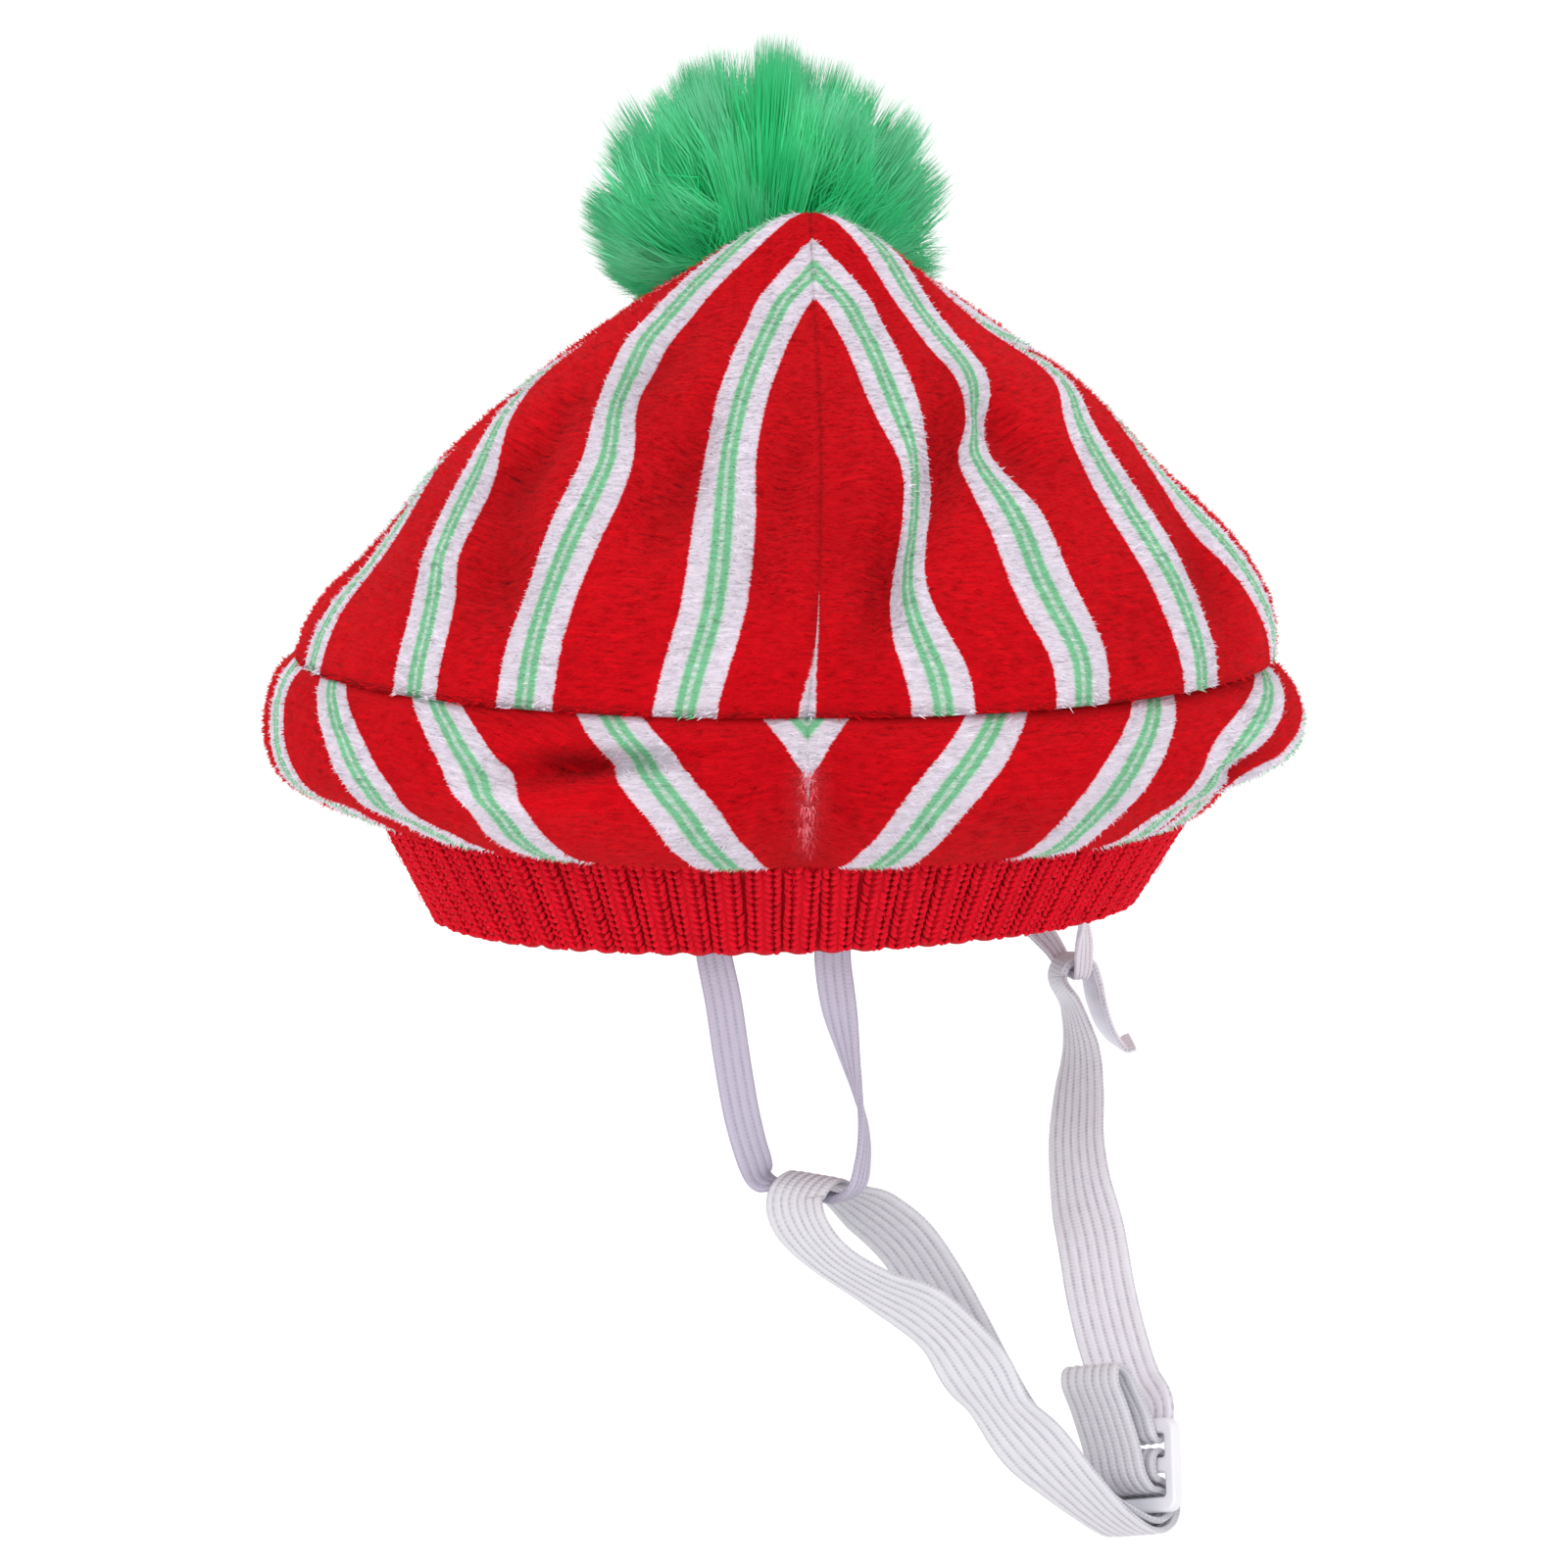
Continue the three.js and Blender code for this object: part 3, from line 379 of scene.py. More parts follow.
RIGHT_RUN = (
    (45.4, -17.4, -62.4, 0.86, -0.48, 0.14, 1),
    (43.7, -12.4, -57.4, 0.95, -0.3, 0.1, 1),
    (42.5, -6.6, -51.6, 0.98, -0.2, 0.06, 1),
    (41.7, -1, -45.2, 0.95, -0.3, 0.04, 1),
    (40.7, 4, -39.6, 0.76, -0.64, 0, 1),
    (40.4, 8.4, -33.6, 0.64, -0.76, -0.05, 1),
    (41, 12.4, -27.8, 0.56, -0.82, -0.08, 1),
    (41.4, 15.8, -22, 0.4, -0.91, -0.05, 1),
    (40.4, 18.4, -16.4, 0.3, -0.95, 0, 0.78),
    (38.7, 19.6, -12.8, 0.3, -0.95, 0, 0.54),
    (39.3, 19.8, -10.9, 0.3, -0.95, 0, 0.48),
    (41.1, 20.4, -10.1, 0.3, -0.95, 0, 0.48),
    (42.9, 21, -10.9, 0.3, -0.95, 0, 0.48),
    (43.6, 21.3, -12.9, 0.3, -0.95, 0, 0.58),
    (44.4, 21.6, -16.8, 0.24, -0.97, 0, 0.8),
    (46, 21.8, -20.8, 0.18, -0.98, 0, 0.9),
    (47.8, 21.8, -22.6, 0.15, -0.98, 0, 0.9),
    (49.4, 21.8, -22.2, 0.15, -0.98, 0, 0.9),
)

# Camera and light
CAMERA_DISTANCE = 850
CAMERA_ELEVATION = 7.5
CAMERA_TURN = -2.5
CAMERA_TARGET = np.array((0, 0, 17.05))
FRAME_SPAN = 210.5
SENSOR = 36
CLIP_END = 200
FLOOR_Z = -190
FLOOR_REACH = 60000
# Suns: name, place, spread in degrees and strength
SUNS = (
    ("key", (-420, -760, 640), 30, 0.4),
    ("top", (520, -120, 800), 60, 0.2),
    ("front", (120, -900, 30), 60, 0.75),
)


class Value:
    """One output of a shader node; arithmetic on it adds Math nodes."""

    def __init__(self, finish, socket):
        self.finish = finish
        self.socket = socket

    def maths(self, operation, *values):
        return self.finish.node("ShaderNodeMath", {"operation": operation}, dict(enumerate(values)))

    def __abs__(self):
        return self.maths("ABSOLUTE", self)

    def sine(self, period, phase=0.0):
        """Swings between -1 and 1 once in each period."""
        return self.maths("SINE", self * (2 * math.pi / period) + phase)

    def wave(self, period, phase=0.0):
        """Swings between 0 and 1 once in each period."""
        return self.sine(period, phase) * 0.5 + 0.5

    def step(self, low, high):
        """Rises smoothly from 0 at low to 1 at high."""
        inputs = {"Value": self, "From Min": low, "From Max": high}
        return self.finish.node("ShaderNodeMapRange", {"interpolation_type": "SMOOTHSTEP"}, inputs)


for sign, operation in (("add", "ADD"), ("sub", "SUBTRACT"), ("mul", "MULTIPLY"), ("truediv", "DIVIDE"),
                        ("mod", "FLOORED_MODULO")):
    setattr(Value, f"__{sign}__", lambda one, two, way=operation: one.maths(way, one, two))
    setattr(Value, f"__r{sign}__", lambda two, one, way=operation: two.maths(way, one, two))


class Finish:
    """A material and the nodes that feed its one Principled shader."""

    def __init__(self, name, specular, **constants):
        self.material = bpy.data.materials.new(name)
        self.material.use_nodes = True
        self.tree = self.material.node_tree
        self.shader = self.tree.nodes["Principled BSDF"]
        self.set("Specular IOR Level", specular)
        for key, value in constants.items():
            self.set(key.replace("_", " ").title(), value)

    def node(self, kind, settings=None, inputs=None, output=0):
        made = self.tree.nodes.new(kind)
        for key, value in (settings or {}).items():
            setattr(made, key, value)
        for key, value in (inputs or {}).items():
            self.feed(made.inputs[key], value)
        return Value(self, made.outputs[output])

    def feed(self, socket, value):
        if isinstance(value, Value):
            self.tree.links.new(value.socket, socket)
        else:
            socket.default_value = value

    def set(self, name, value):
        self.feed(self.shader.inputs[name], value)

    def attribute(self, name):
        """The three numbers of a piece's own attribute."""
        vector = self.node("ShaderNodeAttribute", {"attribute_name": name}, output=1)
        return [self.node("ShaderNodeSeparateXYZ", None, {0: vector}, axis) for axis in range(3)]

    def place(self, x, y, z=0.0):
        return self.node("ShaderNodeCombineXYZ", None, {0: x, 1: y, 2: z})

    def object_place(self):
        return self.node("ShaderNodeTexCoord", output=3)

    def noise(self, place, scale, detail=2.0, roughness=0.5):
        inputs = {"Vector": place, "Scale": scale, "Detail": detail, "Roughness": roughness}
        return self.node("ShaderNodeTexNoise", None, inputs)

    def mix(self, share, one, other, way="MIX"):
        settings = {"data_type": "RGBA", "blend_type": way}
        return self.node("ShaderNodeMix", settings, {0: share, 6: one, 7: other}, output=2)

    def shaded(self, colour, shade):
        """Colour times shade."""
        return self.mix(1.0, colour, self.place(shade, shade, shade), "MULTIPLY")

    def bump(self, height, strength, distance):
        inputs = {"Height": height, "Strength": strength, "Distance": distance}
        self.set("Normal", self.node("ShaderNodeBump", None, inputs))


def srgb(red, green, blue):
    """Linear colour of an sRGB triple from 0 to 255."""
    share = np.array((red, green, blue)) / 255
    linear = np.where(share <= 0.04045, share / 12.92, ((share + 0.055) / 1.055) ** 2.4)
    return (*linear.tolist(), 1.0)


RED_PLUSH = srgb(208, 8, 22)
WHITE_PLUSH = srgb(233, 221, 235)
PINK_PLUSH = srgb(246, 150, 165)
PALE_GREEN_PLUSH = srgb(176, 226, 186)
GREEN_PLUSH = srgb(96, 194, 134)
BACKING, BACKING_SHADE = srgb(232, 222, 228), srgb(206, 190, 200)
# The yarn's hollow colour is painted shade; its face colour is the yarn's own.
YARN_HOLLOW_SHADE, YARN_FACE = srgb(158, 2, 15), srgb(226, 15, 40)
FUR_ROOT, FUR_TIP, FUR_PALE = srgb(0, 166, 90), srgb(5, 222, 128), srgb(140, 246, 192)
# Elastics: light; pale, which is painted light where the hat keeps light off; and dark, painted shade
# in the grooves
NARROW_COLOURS = srgb(190, 184, 201), srgb(232, 224, 232), srgb(150, 143, 166)
WIDE_COLOURS = srgb(219, 218, 223), srgb(238, 236, 244), srgb(158, 154, 166)
PLASTIC, PLASTIC_SHADE = srgb(232, 230, 236), srgb(216, 213, 223)
FLOOR_SHADE, FLOOR_LIGHT = (0.96, 0.96, 0.962, 1), (0.98, 0.98, 0.982, 1)


def plush_finish():
    """Striped plush: offset from the nearest stripe's middle picks white or green over red.

    Brushed streaks lie across the stripes, in patches, and the pile is paler at its tips.
    """
    finish = Finish("striped_plush", 0.04, roughness=0.9, sheen_weight=0.015, sheen_roughness=0.5)
    # tone is painted shade in the folds, with a random tone added for each blade of pile
    across, along, tone = finish.attribute("cloth")
    height, seam, bleach = finish.attribute("pile")

    def noise(across_scale, along_scale, detail=2.0, roughness=0.5):
        place = finish.place(across * across_scale, along * along_scale)
        return finish.noise(place, 1.0, detail, roughness)

    wobble = (noise(1.6, 1.6) - 0.5) * 0.3 + (noise(0.9, 6.0) - 0.5) * 0.7
    phase = ((across + wobble) / STRIPE_PITCH + 0.5) % 1.0
    offset = abs(phase - 0.5) * STRIPE_PITCH
    white = 1 - offset.step(STRIPE_HALF - EDGE_BLUR, STRIPE_HALF + EDGE_BLUR)
    blush = white * offset.step(STRIPE_HALF - BLUSH_IN, STRIPE_HALF + BLUSH_OUT)
    core = 1 - offset.step(*PALE_CORE)
    line = offset.step(*LINE_STARTS) * (1 - offset.step(*LINE_ENDS))
    dots = (1 - offset.step(*MIDDLE_LINE)) * along.wave(DOT_PITCH)
    wisps = noise(2.6, 1.1).step(0.3, 0.65)
    prints = ((white, WHITE_PLUSH), (blush * 0.5, PINK_PLUSH), (core * 0.45, PALE_GREEN_PLUSH),
              (line * 0.82, GREEN_PLUSH), (dots * 0.5, GREEN_PLUSH),
              (bleach * (0.2 + wisps * 0.6), PINK_PLUSH))
    colour = RED_PLUSH
    for share, over in prints:
        colour = finish.mix(share, colour, over)

    streak = noise(0.42, 1.8, 3.0, 0.62)
    patch = noise(0.11, 0.11, 1.0).step(0.3, 0.6)
    # Cloud mottling is random tone and also painted light and shade, standing in for the light and
    # shade of small folds.
    cloud = noise(0.07, 0.07)
    ripple = (0.5 - streak) * (0.5 + patch * 0.5)
    crack = streak.step(0.56, 0.74) * patch
    sewn = (1 - seam.step(0.1, 0.6)) * (0.14 + along.wave(SEAM_STITCH) * 0.16)
    marks = ripple * 1.3 - crack * 0.2 - sewn
    # The painted shade of the folds comes in through tone.
    shade = 0.79 + cloud * 0.36 + marks * (1 - white * 0.15) + tone * 0.08 + height * 0.14
    loops = across.sine(BACKING_LOOP[0]) * along.sine(BACKING_LOOP[1]) * 0.5 + 0.5
    plain = finish.mix(loops * 0.5 + cloud * 0.3, BACKING, BACKING_SHADE)
    backing = 1 - height.step(-0.6, -0.2)
    finish.set("Base Color", finish.mix(backing, finish.shaded(colour, shade), plain))
    finish.bump(noise(1.92, 4.8, 3.0, 0.7) - streak * 1.8, 0.7, 0.0007)
    return finish.material


def knit_finish():
    """Red yarn: painted darker in the hollows as painted shade, with fine twisted fibres along each
    stitch.
    """
    finish = Finish("red_rib_knit", 0.08, roughness=0.85, sheen_weight=0.04, sheen_roughness=0.4)
    # depth runs from the hollows, painted dark as shade, out to the yarn's faces.
    depth, tone = finish.attribute("yarn")[:2]
    place = finish.object_place()
    fibres = finish.noise(place, 2600.0, 2.0, 0.6)
    colour = finish.mix(depth, YARN_HOLLOW_SHADE, YARN_FACE)
    shade = 0.82 + finish.noise(place, 90.0) * 0.24 + tone * 0.09 + fibres * 0.12
    finish.set("Base Color", finish.shaded(colour, shade))
    finish.bump(fibres, 0.4, 0.0003)
    return finish.material


def fur_finish():
    """Green fur: deeper at the roots, paler and brighter at the tips."""
    finish = Finish("green_fur", 0.25, roughness=0.65, sheen_weight=0.06, sheen_roughness=0.4)
    along, tone, pale = finish.attribute("strand")
    colour = finish.mix(along.step(0.25, 0.75), FUR_ROOT, FUR_TIP)
    colour = finish.mix(along.step(0.5, 1.0) * (0.12 + pale * 0.8), colour, FUR_PALE)
    finish.set("Base Color", finish.shaded(colour, 0.96 + tone * 0.12))
    return finish.material


def elastic_finish(name, colours, ribs):
    """Woven elastic: lengthwise ribs, thin grooves painted dark as painted shade, with a ladder of
    cross threads in them.
    """
    # pale is painted light, for stretches that the hat keeps light off; dark is mostly painted shade in
    # the grooves.
    light, pale, dark = colours
    finish = Finish(name, 0.2, roughness=0.75, sheen_weight=0.05)
    # The weave's third number is the share of painted light.
    across, along, painted_light = finish.attribute("weave")
    # Painted shade: the grooves between the ribs are painted dark, in uneven patches, with the cross
    # threads in them.
    groove = across.wave(1 / ribs, math.pi / 2).step(0.62, 0.97)
    thread = along.wave(0.55)
    cloud = finish.noise(finish.place(across * 20, along * 0.3), 1.0)
    groove_patches = finish.noise(finish.place(across * 9, along * 0.5), 1.0).step(0.3, 0.7)
    ladder = groove * (0.45 + thread * 0.55)
    ground = finish.mix(painted_light, light, pale)
    finish.set("Base Color", finish.mix(ladder * (0.3 + groove_patches * 0.3) + cloud * 0.24, ground, dark))
    finish.bump(thread * 0.3 * (1 - groove) - ladder, 0.4, 0.0003)
    return finish.material


def plastic_finish():
    """White moulded plastic with faint flow marks."""
    finish = Finish("white_plastic", 0.5, subsurface_weight=0.1)
    place = finish.object_place()
    cloud = finish.noise(place, 160.0)
    finish.set("Base Color", finish.mix(cloud * 0.5, PLASTIC, PLASTIC_SHADE))
    finish.set("Roughness", 0.3 + cloud * 0.14)
    finish.bump(finish.noise(place, 900.0, 3.0), 0.08, 0.0002)
    return finish.material


def floor_finish():
    finish = Finish("pale_floor", 0.5, roughness=0.9)
    cloud = finish.noise(finish.object_place(), 0.8)
    finish.set("Base Color", finish.mix(cloud, FLOOR_SHADE, FLOOR_LIGHT))
    return finish.material


def link(name, data):
    """Object in the scene that holds the data."""
    thing = bpy.data.objects.new(name, data)
    bpy.context.scene.collection.objects.link(thing)
    return thing


def put(name, points, faces, material, layers=None, normals=None, cells=False):
    """Mesh object from points in millimetres and arrays of faces.

    Each of the layers is an attribute of three numbers at its points. normals shade it as if its
    points faced that way, and cells gives it a bake map.
    """
    mesh = bpy.data.meshes.new(name)
    places = np.asarray(points).reshape(-1, 3)
    corners = np.concatenate([group.ravel() for group in faces]).astype(np.int32)
    sizes = np.concatenate([np.full(len(group), group.shape[1]) for group in faces]).astype(np.int32)
    starts = (np.cumsum(sizes) - sizes).astype(np.int32)
    mesh.vertices.add(len(places))
    mesh.vertices.foreach_set("co", (places * MM).astype(np.float32).ravel())
    mesh.loops.add(len(corners))
    mesh.loops.foreach_set("vertex_index", corners)
    mesh.polygons.add(len(sizes))
    mesh.polygons.foreach_set("loop_start", starts)
    mesh.polygons.foreach_set("loop_total", sizes)
    mesh.polygons.foreach_set("use_smooth", np.full(len(sizes), True))
    mesh.update(calc_edges=True)
    for key, values in (layers or {}).items():
        layer = mesh.attributes.new(key, "FLOAT_VECTOR", "POINT")
        numbers = np.stack(np.broadcast_arrays(*values), -1)
        layer.data.foreach_set("vector", numbers.astype(np.float32).ravel())
    if cells:
        cell_map(mesh, len(sizes))
    if normals is not None:
        mesh.normals_split_custom_set_from_vertices(normals.reshape(-1, 3))
    mesh.materials.append(material)
    return link(name, mesh)


def cell_map(mesh, count):
    """Bake map for triangles: two to a cell of a square grid, one in each half of the cell."""
    side = math.ceil(math.sqrt(math.ceil(count / 2)))
    index = np.arange(count)
    cell = np.stack([(index // 2) % side, (index // 2) // side], -1)[:, None, :]
    lower = np.array(((0.1, 0.1), (0.8, 0.1), (0.1, 0.8)))
    half = np.where((index % 2 == 0)[:, None, None], lower, 1 - lower)
    layer = mesh.uv_layers.new(name="OFBake")
    layer.data.foreach_set("uv", ((cell + half) / side).astype(np.float32).ravel())


def finish_piece(piece, slot, *nodes):
    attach(piece, "root")
    if nodes:
        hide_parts(*nodes)


def add(slot, name, points, faces, material, layers, *nodes, **shading):
    """Puts a piece in, on the body root, in place of the nodes. slot is not used."""
    finish_piece(put(name, points, faces, material, layers, **shading), slot, *nodes)


def grid_faces(rows, columns, closed=False):
    """Quads of a grid of points, row by row; closed joins the last column to the first."""
    row = np.arange(rows - 1)[:, None]
    column = np.arange(columns if closed else columns - 1)[None, :]
    onward = (column + 1) % columns
    low, high = row * columns, (row + 1) * columns
    return np.stack([low + column, low + onward, high + onward, high + column], -1).reshape(-1, 4)


def halved(quads):
    """Two triangles of each quad."""
    return np.concatenate([quads[:, (0, 1, 2)], quads[:, (0, 2, 3)]])


def copies(triangles, points, count):
    """Triangles of one shape, repeated for each of count shapes with so many points."""
    return (points * np.arange(count)[:, None, None] + np.asarray(triangles)).reshape(-1, 3)


def three_sides(side, lift, start=0):
    """Three directions round an axis, a third of a turn apart."""
    turns = np.radians(start + np.array((0, 120, 240)))
    return [math.cos(turn) * side + math.sin(turn) * lift for turn in turns]


def unit(vectors):
    return vectors / np.maximum(np.linalg.norm(vectors, axis=-1, keepdims=True), 1e-9)


def grid_normals(points):
    """Cross product of the steps along the rows and up the columns."""
    return unit(np.cross(np.gradient(points, axis=1), np.gradient(points, axis=0)))


def grid_of(*values):
    """Numbers of a grid, one above the other, each spread over the whole grid."""
    return np.stack(np.broadcast_arrays(*values))


def wrap(turn):
    return np.mod(turn + 180, 360) - 180


def bell(*steps):
    """Falls from one at the middle to nothing a few half sizes away."""
    return np.exp(-sum(step * step for step in steps))


def ramp(value, low, high):
    """Rises straight from 0 at low to 1 at high."""
    return np.clip((value - low) / (high - low), 0, 1)


def round_hat(radius, turn, z):
    """Points at a radius and a turn about the hat's axis, at a height."""
    angle = np.radians(turn)
    return np.stack(np.broadcast_arrays(radius * np.sin(angle), -radius * np.cos(angle), z), -1)


def lip_z(turn):
    front = 0.5 + 0.5 * np.cos(np.radians(turn))
    return LIP_Z - LIP_FRONT_DROP * front ** 1.5


def crown_depth(turn, rise, dents):
    """Sum of bell-shaped hollows, each leaning in turn as it rises."""
    depth = np.zeros(np.broadcast(turn, rise).shape)
    for middle, height, half_turn, half_rise, lean, deep in dents:
        above = rise - height
        aside = wrap(turn - middle - lean * above)
        depth = depth + deep * bell(aside / half_turn, above / half_rise)
    return depth


def crown_point(turn, rise):
    """Crown's face: a dome that leans, with seam dips, dents, a front peak and a sunk tip."""
    angle = np.radians(turn)
    inward = rise ** CROWN_SPACING
    seam_away = np.radians(turn - 90 * np.round(turn / 90)) * LIP_RADIUS * (1 - inward)
    swell = GORE_SWELL * np.sin(2 * angle) ** 2 * (1 - inward)
    dip = SEAM_DIP * bell(seam_away / SEAM_DIP_REACH) * (1 - inward)
    change = swell - dip - crown_depth(turn, rise, CROWN_FOLDS + CROWN_DENTS)
    tuck = LIP_TUCK * bell(rise / LIP_TUCK_REACH)
    radius = LIP_RADIUS * (1 - inward) - tuck + CHANGE_OUT * change
    x = radius * np.sin(angle) + CROWN_LEAN_X * (1 - np.exp(-CROWN_LEAN_RATE * rise))
    y = -radius * np.cos(angle) + TIP_BACK * inward ** 2
    dome = CROWN_RISE * inward ** CROWN_POWER
    dome = dome + CHANGE_UP * change * np.minimum(1, rise * CHANGE_UP_RATE)
    peak = PEAK_RISE * bell((x - PEAK_X) / PEAK_HALF_WIDTH, (y - PEAK_Y) / PEAK_HALF_DEPTH)
    sink = TIP_SINK * bell((x - CROWN_LEAN_X) / TIP_SINK_REACH, (y - TIP_BACK) / TIP_SINK_REACH)
    base = LIP_Z + (lip_z(turn) - LIP_Z) * (1 - inward)
    return np.stack([x, y, base + dome + peak - sink], -1)


def under_profile(along):
    """Angle on the under ring's rounded profile, in degrees."""
    return UNDER_START + (UNDER_END - UNDER_START) * along


def under_depth(turn, along, dents):
    """Depth of the pinch at the under ring's seams and of the dents, nothing at its two edges."""
    seam_away = np.radians(turn - 180 * np.round(turn / 180)) * (UNDER_INNER + UNDER_REACH)
    middle = np.sin(np.pi * np.minimum(along, 1))
    depth = PINCH_DEPTH * bell(seam_away / PINCH_REACH) * middle
    for at_turn, at_angle, half_turn, half_angle, deep in dents:
        shape = bell(wrap(turn - at_turn) / half_turn, (under_profile(along) - at_angle) / half_angle)
        depth = depth + deep * shape * np.minimum(1, 4 * middle)
    return depth


def under_point(turn, along):
    """Under ring's face: a rounded profile from the band out to the lip, pinched and dented."""
    slope = np.radians(under_profile(along))
    power = UNDER_POWER + UNDER_POWER_SWAY * np.sin(np.radians(turn))
    dent = under_depth(turn, along, UNDER_FOLDS + UNDER_DENTS)
    out = np.maximum(np.cos(slope), 0)
    radius = UNDER_INNER + UNDER_REACH * out ** power - dent * out
    top = UNDER_MID_Z + UNDER_HALF_HEIGHT * math.sin(math.radians(UNDER_END))
    drop = (top + UNDER_LIP_GAP - lip_z(turn)) * along ** 2
    return round_hat(radius, turn, UNDER_MID_Z + (UNDER_HALF_HEIGHT - dent) * np.sin(slope) - drop)


def softened(level, levels, values):
    """Straight-line table with its corners rounded by a running mean."""
    fine = np.linspace(-0.2, 1.2, 281)
    window = np.hanning(15)
    padded = np.pad(np.interp(fine, levels, values), 7, mode="edge")
    return np.interp(level, fine, np.convolve(padded, window / window.sum(), "valid"))


def mean_of_rows(values, reach=3):
    """Each row of a grid averaged with the rows near it."""
    padded = np.pad(values, ((reach, reach), (0, 0)), mode="edge")
    return sum(padded[step:step + len(values)] for step in range(2 * reach + 1)) / (2 * reach + 1)


def striped_cloth(turn, level, ring, points, tables, gathers=(), narrowing=0.0):
    """Cloth coordinates: across the stripes, and along them, in millimetres.

    Near a stripe the first counts true millimetres square to its middle line; in the ground between
    stripes it is stretched so that middles are one pitch apart. narrowing makes them slimmer higher up.
    """
    arc = arc_length(points)
    away = wrap(turn)
    from_seam = np.minimum(np.abs(away), 180 - np.abs(away))
    front_right = (away > 0) & (away < 90)
    per_degree = np.radians(1) * np.maximum(ring, 0.5)
    climb = np.gradient(arc.mean(axis=1))[:, None]
    slimmer = 1 + narrowing * ramp(level, NARROWING_FROM, NARROWING_FROM + NARROWING_RISE)
    left, right = (np.array(table).T for table in tables)
    beyond = []
    for stripe in range(1, STRIPES + 1):
        middle = np.where(away < 0, *(softened(level, side[0], side[stripe]) for side in (left, right)))
        slope = mean_of_rows(np.gradient(middle * per_degree, axis=0) / climb)
        square = (from_seam - middle) * per_degree * slimmer / np.sqrt(1 + slope ** 2)
        for number, rise, half_rise, at_left, at_right in gathers:
            drawn = bell((level - rise) / half_rise) * np.where(square < 0, at_left, at_right)
            square = square * (1 + drawn * (front_right & (number == stripe)))
        beyond.append(square)
    across = np.maximum(beyond[0], -STRIPE_PITCH / 2)
    for stripe in range(STRIPES - 1):
        here, there = beyond[stripe], -beyond[stripe + 1]
        spare = np.maximum(here + there - 2 * STRIPE_EDGE, 1e-6)
        share = np.clip((here - STRIPE_EDGE) / spare, 0, 1)
        ground = STRIPE_EDGE + share * (STRIPE_PITCH - 2 * STRIPE_EDGE)
        inside = np.where(there < STRIPE_EDGE, STRIPE_PITCH - there, ground)
        inside = np.where((here < STRIPE_EDGE) & (here <= np.abs(there)), here, inside)
        across = np.where(here >= 0, stripe * STRIPE_PITCH + inside, across)
    last = (STRIPES - 1) * STRIPE_PITCH + np.minimum(beyond[-1], STRIPE_PITCH / 2)
    return np.where(beyond[-1] >= 0, last, across), arc


def seam_distance(turn, ring, share):
    """Millimetres from the nearest of the seams that come once in each share of a turn."""
    return np.abs(turn - share * np.round(turn / share)) * np.radians(1) * ring


def arc_length(points):
    """Length up each column of a grid of points."""
    steps = np.linalg.norm(np.diff(points, axis=0), axis=-1)
    return np.concatenate([np.zeros((1, points.shape[1])), np.cumsum(steps, axis=0)])


def wall(name, points, cloth, material, node):
    """Closed cloth wall: the outer face of a grid, that face moved inwards, and the edges between."""
    rows, columns = points.shape[:2]
    count = rows * columns
    sunk = np.array((CLOTH_SINK, CLOTH_SINK + CLOTH_WALL))[:, None, None, None]
    both = points - sunk * grid_normals(points)
    face = grid_faces(rows, columns)
    edge = np.concatenate([
        np.arange(columns), np.arange(2, rows + 1) * columns - 1,
        count - 2 - np.arange(columns - 1), np.arange(rows - 2, -1, -1) * columns])
    start, end = edge[:-1], edge[1:]
    sides = np.stack([end, start, start + count, end + count], -1)
    height = np.array(FACE_HEIGHTS)[:, None, None]
    layers = {"cloth": [each + 0 * height for each in cloth[:3]], "pile": (height, *cloth[3:])}
    faces = np.concatenate([face, face[:, ::-1] + count, sides])
    add("plush", name, both, [faces], material, layers, node)


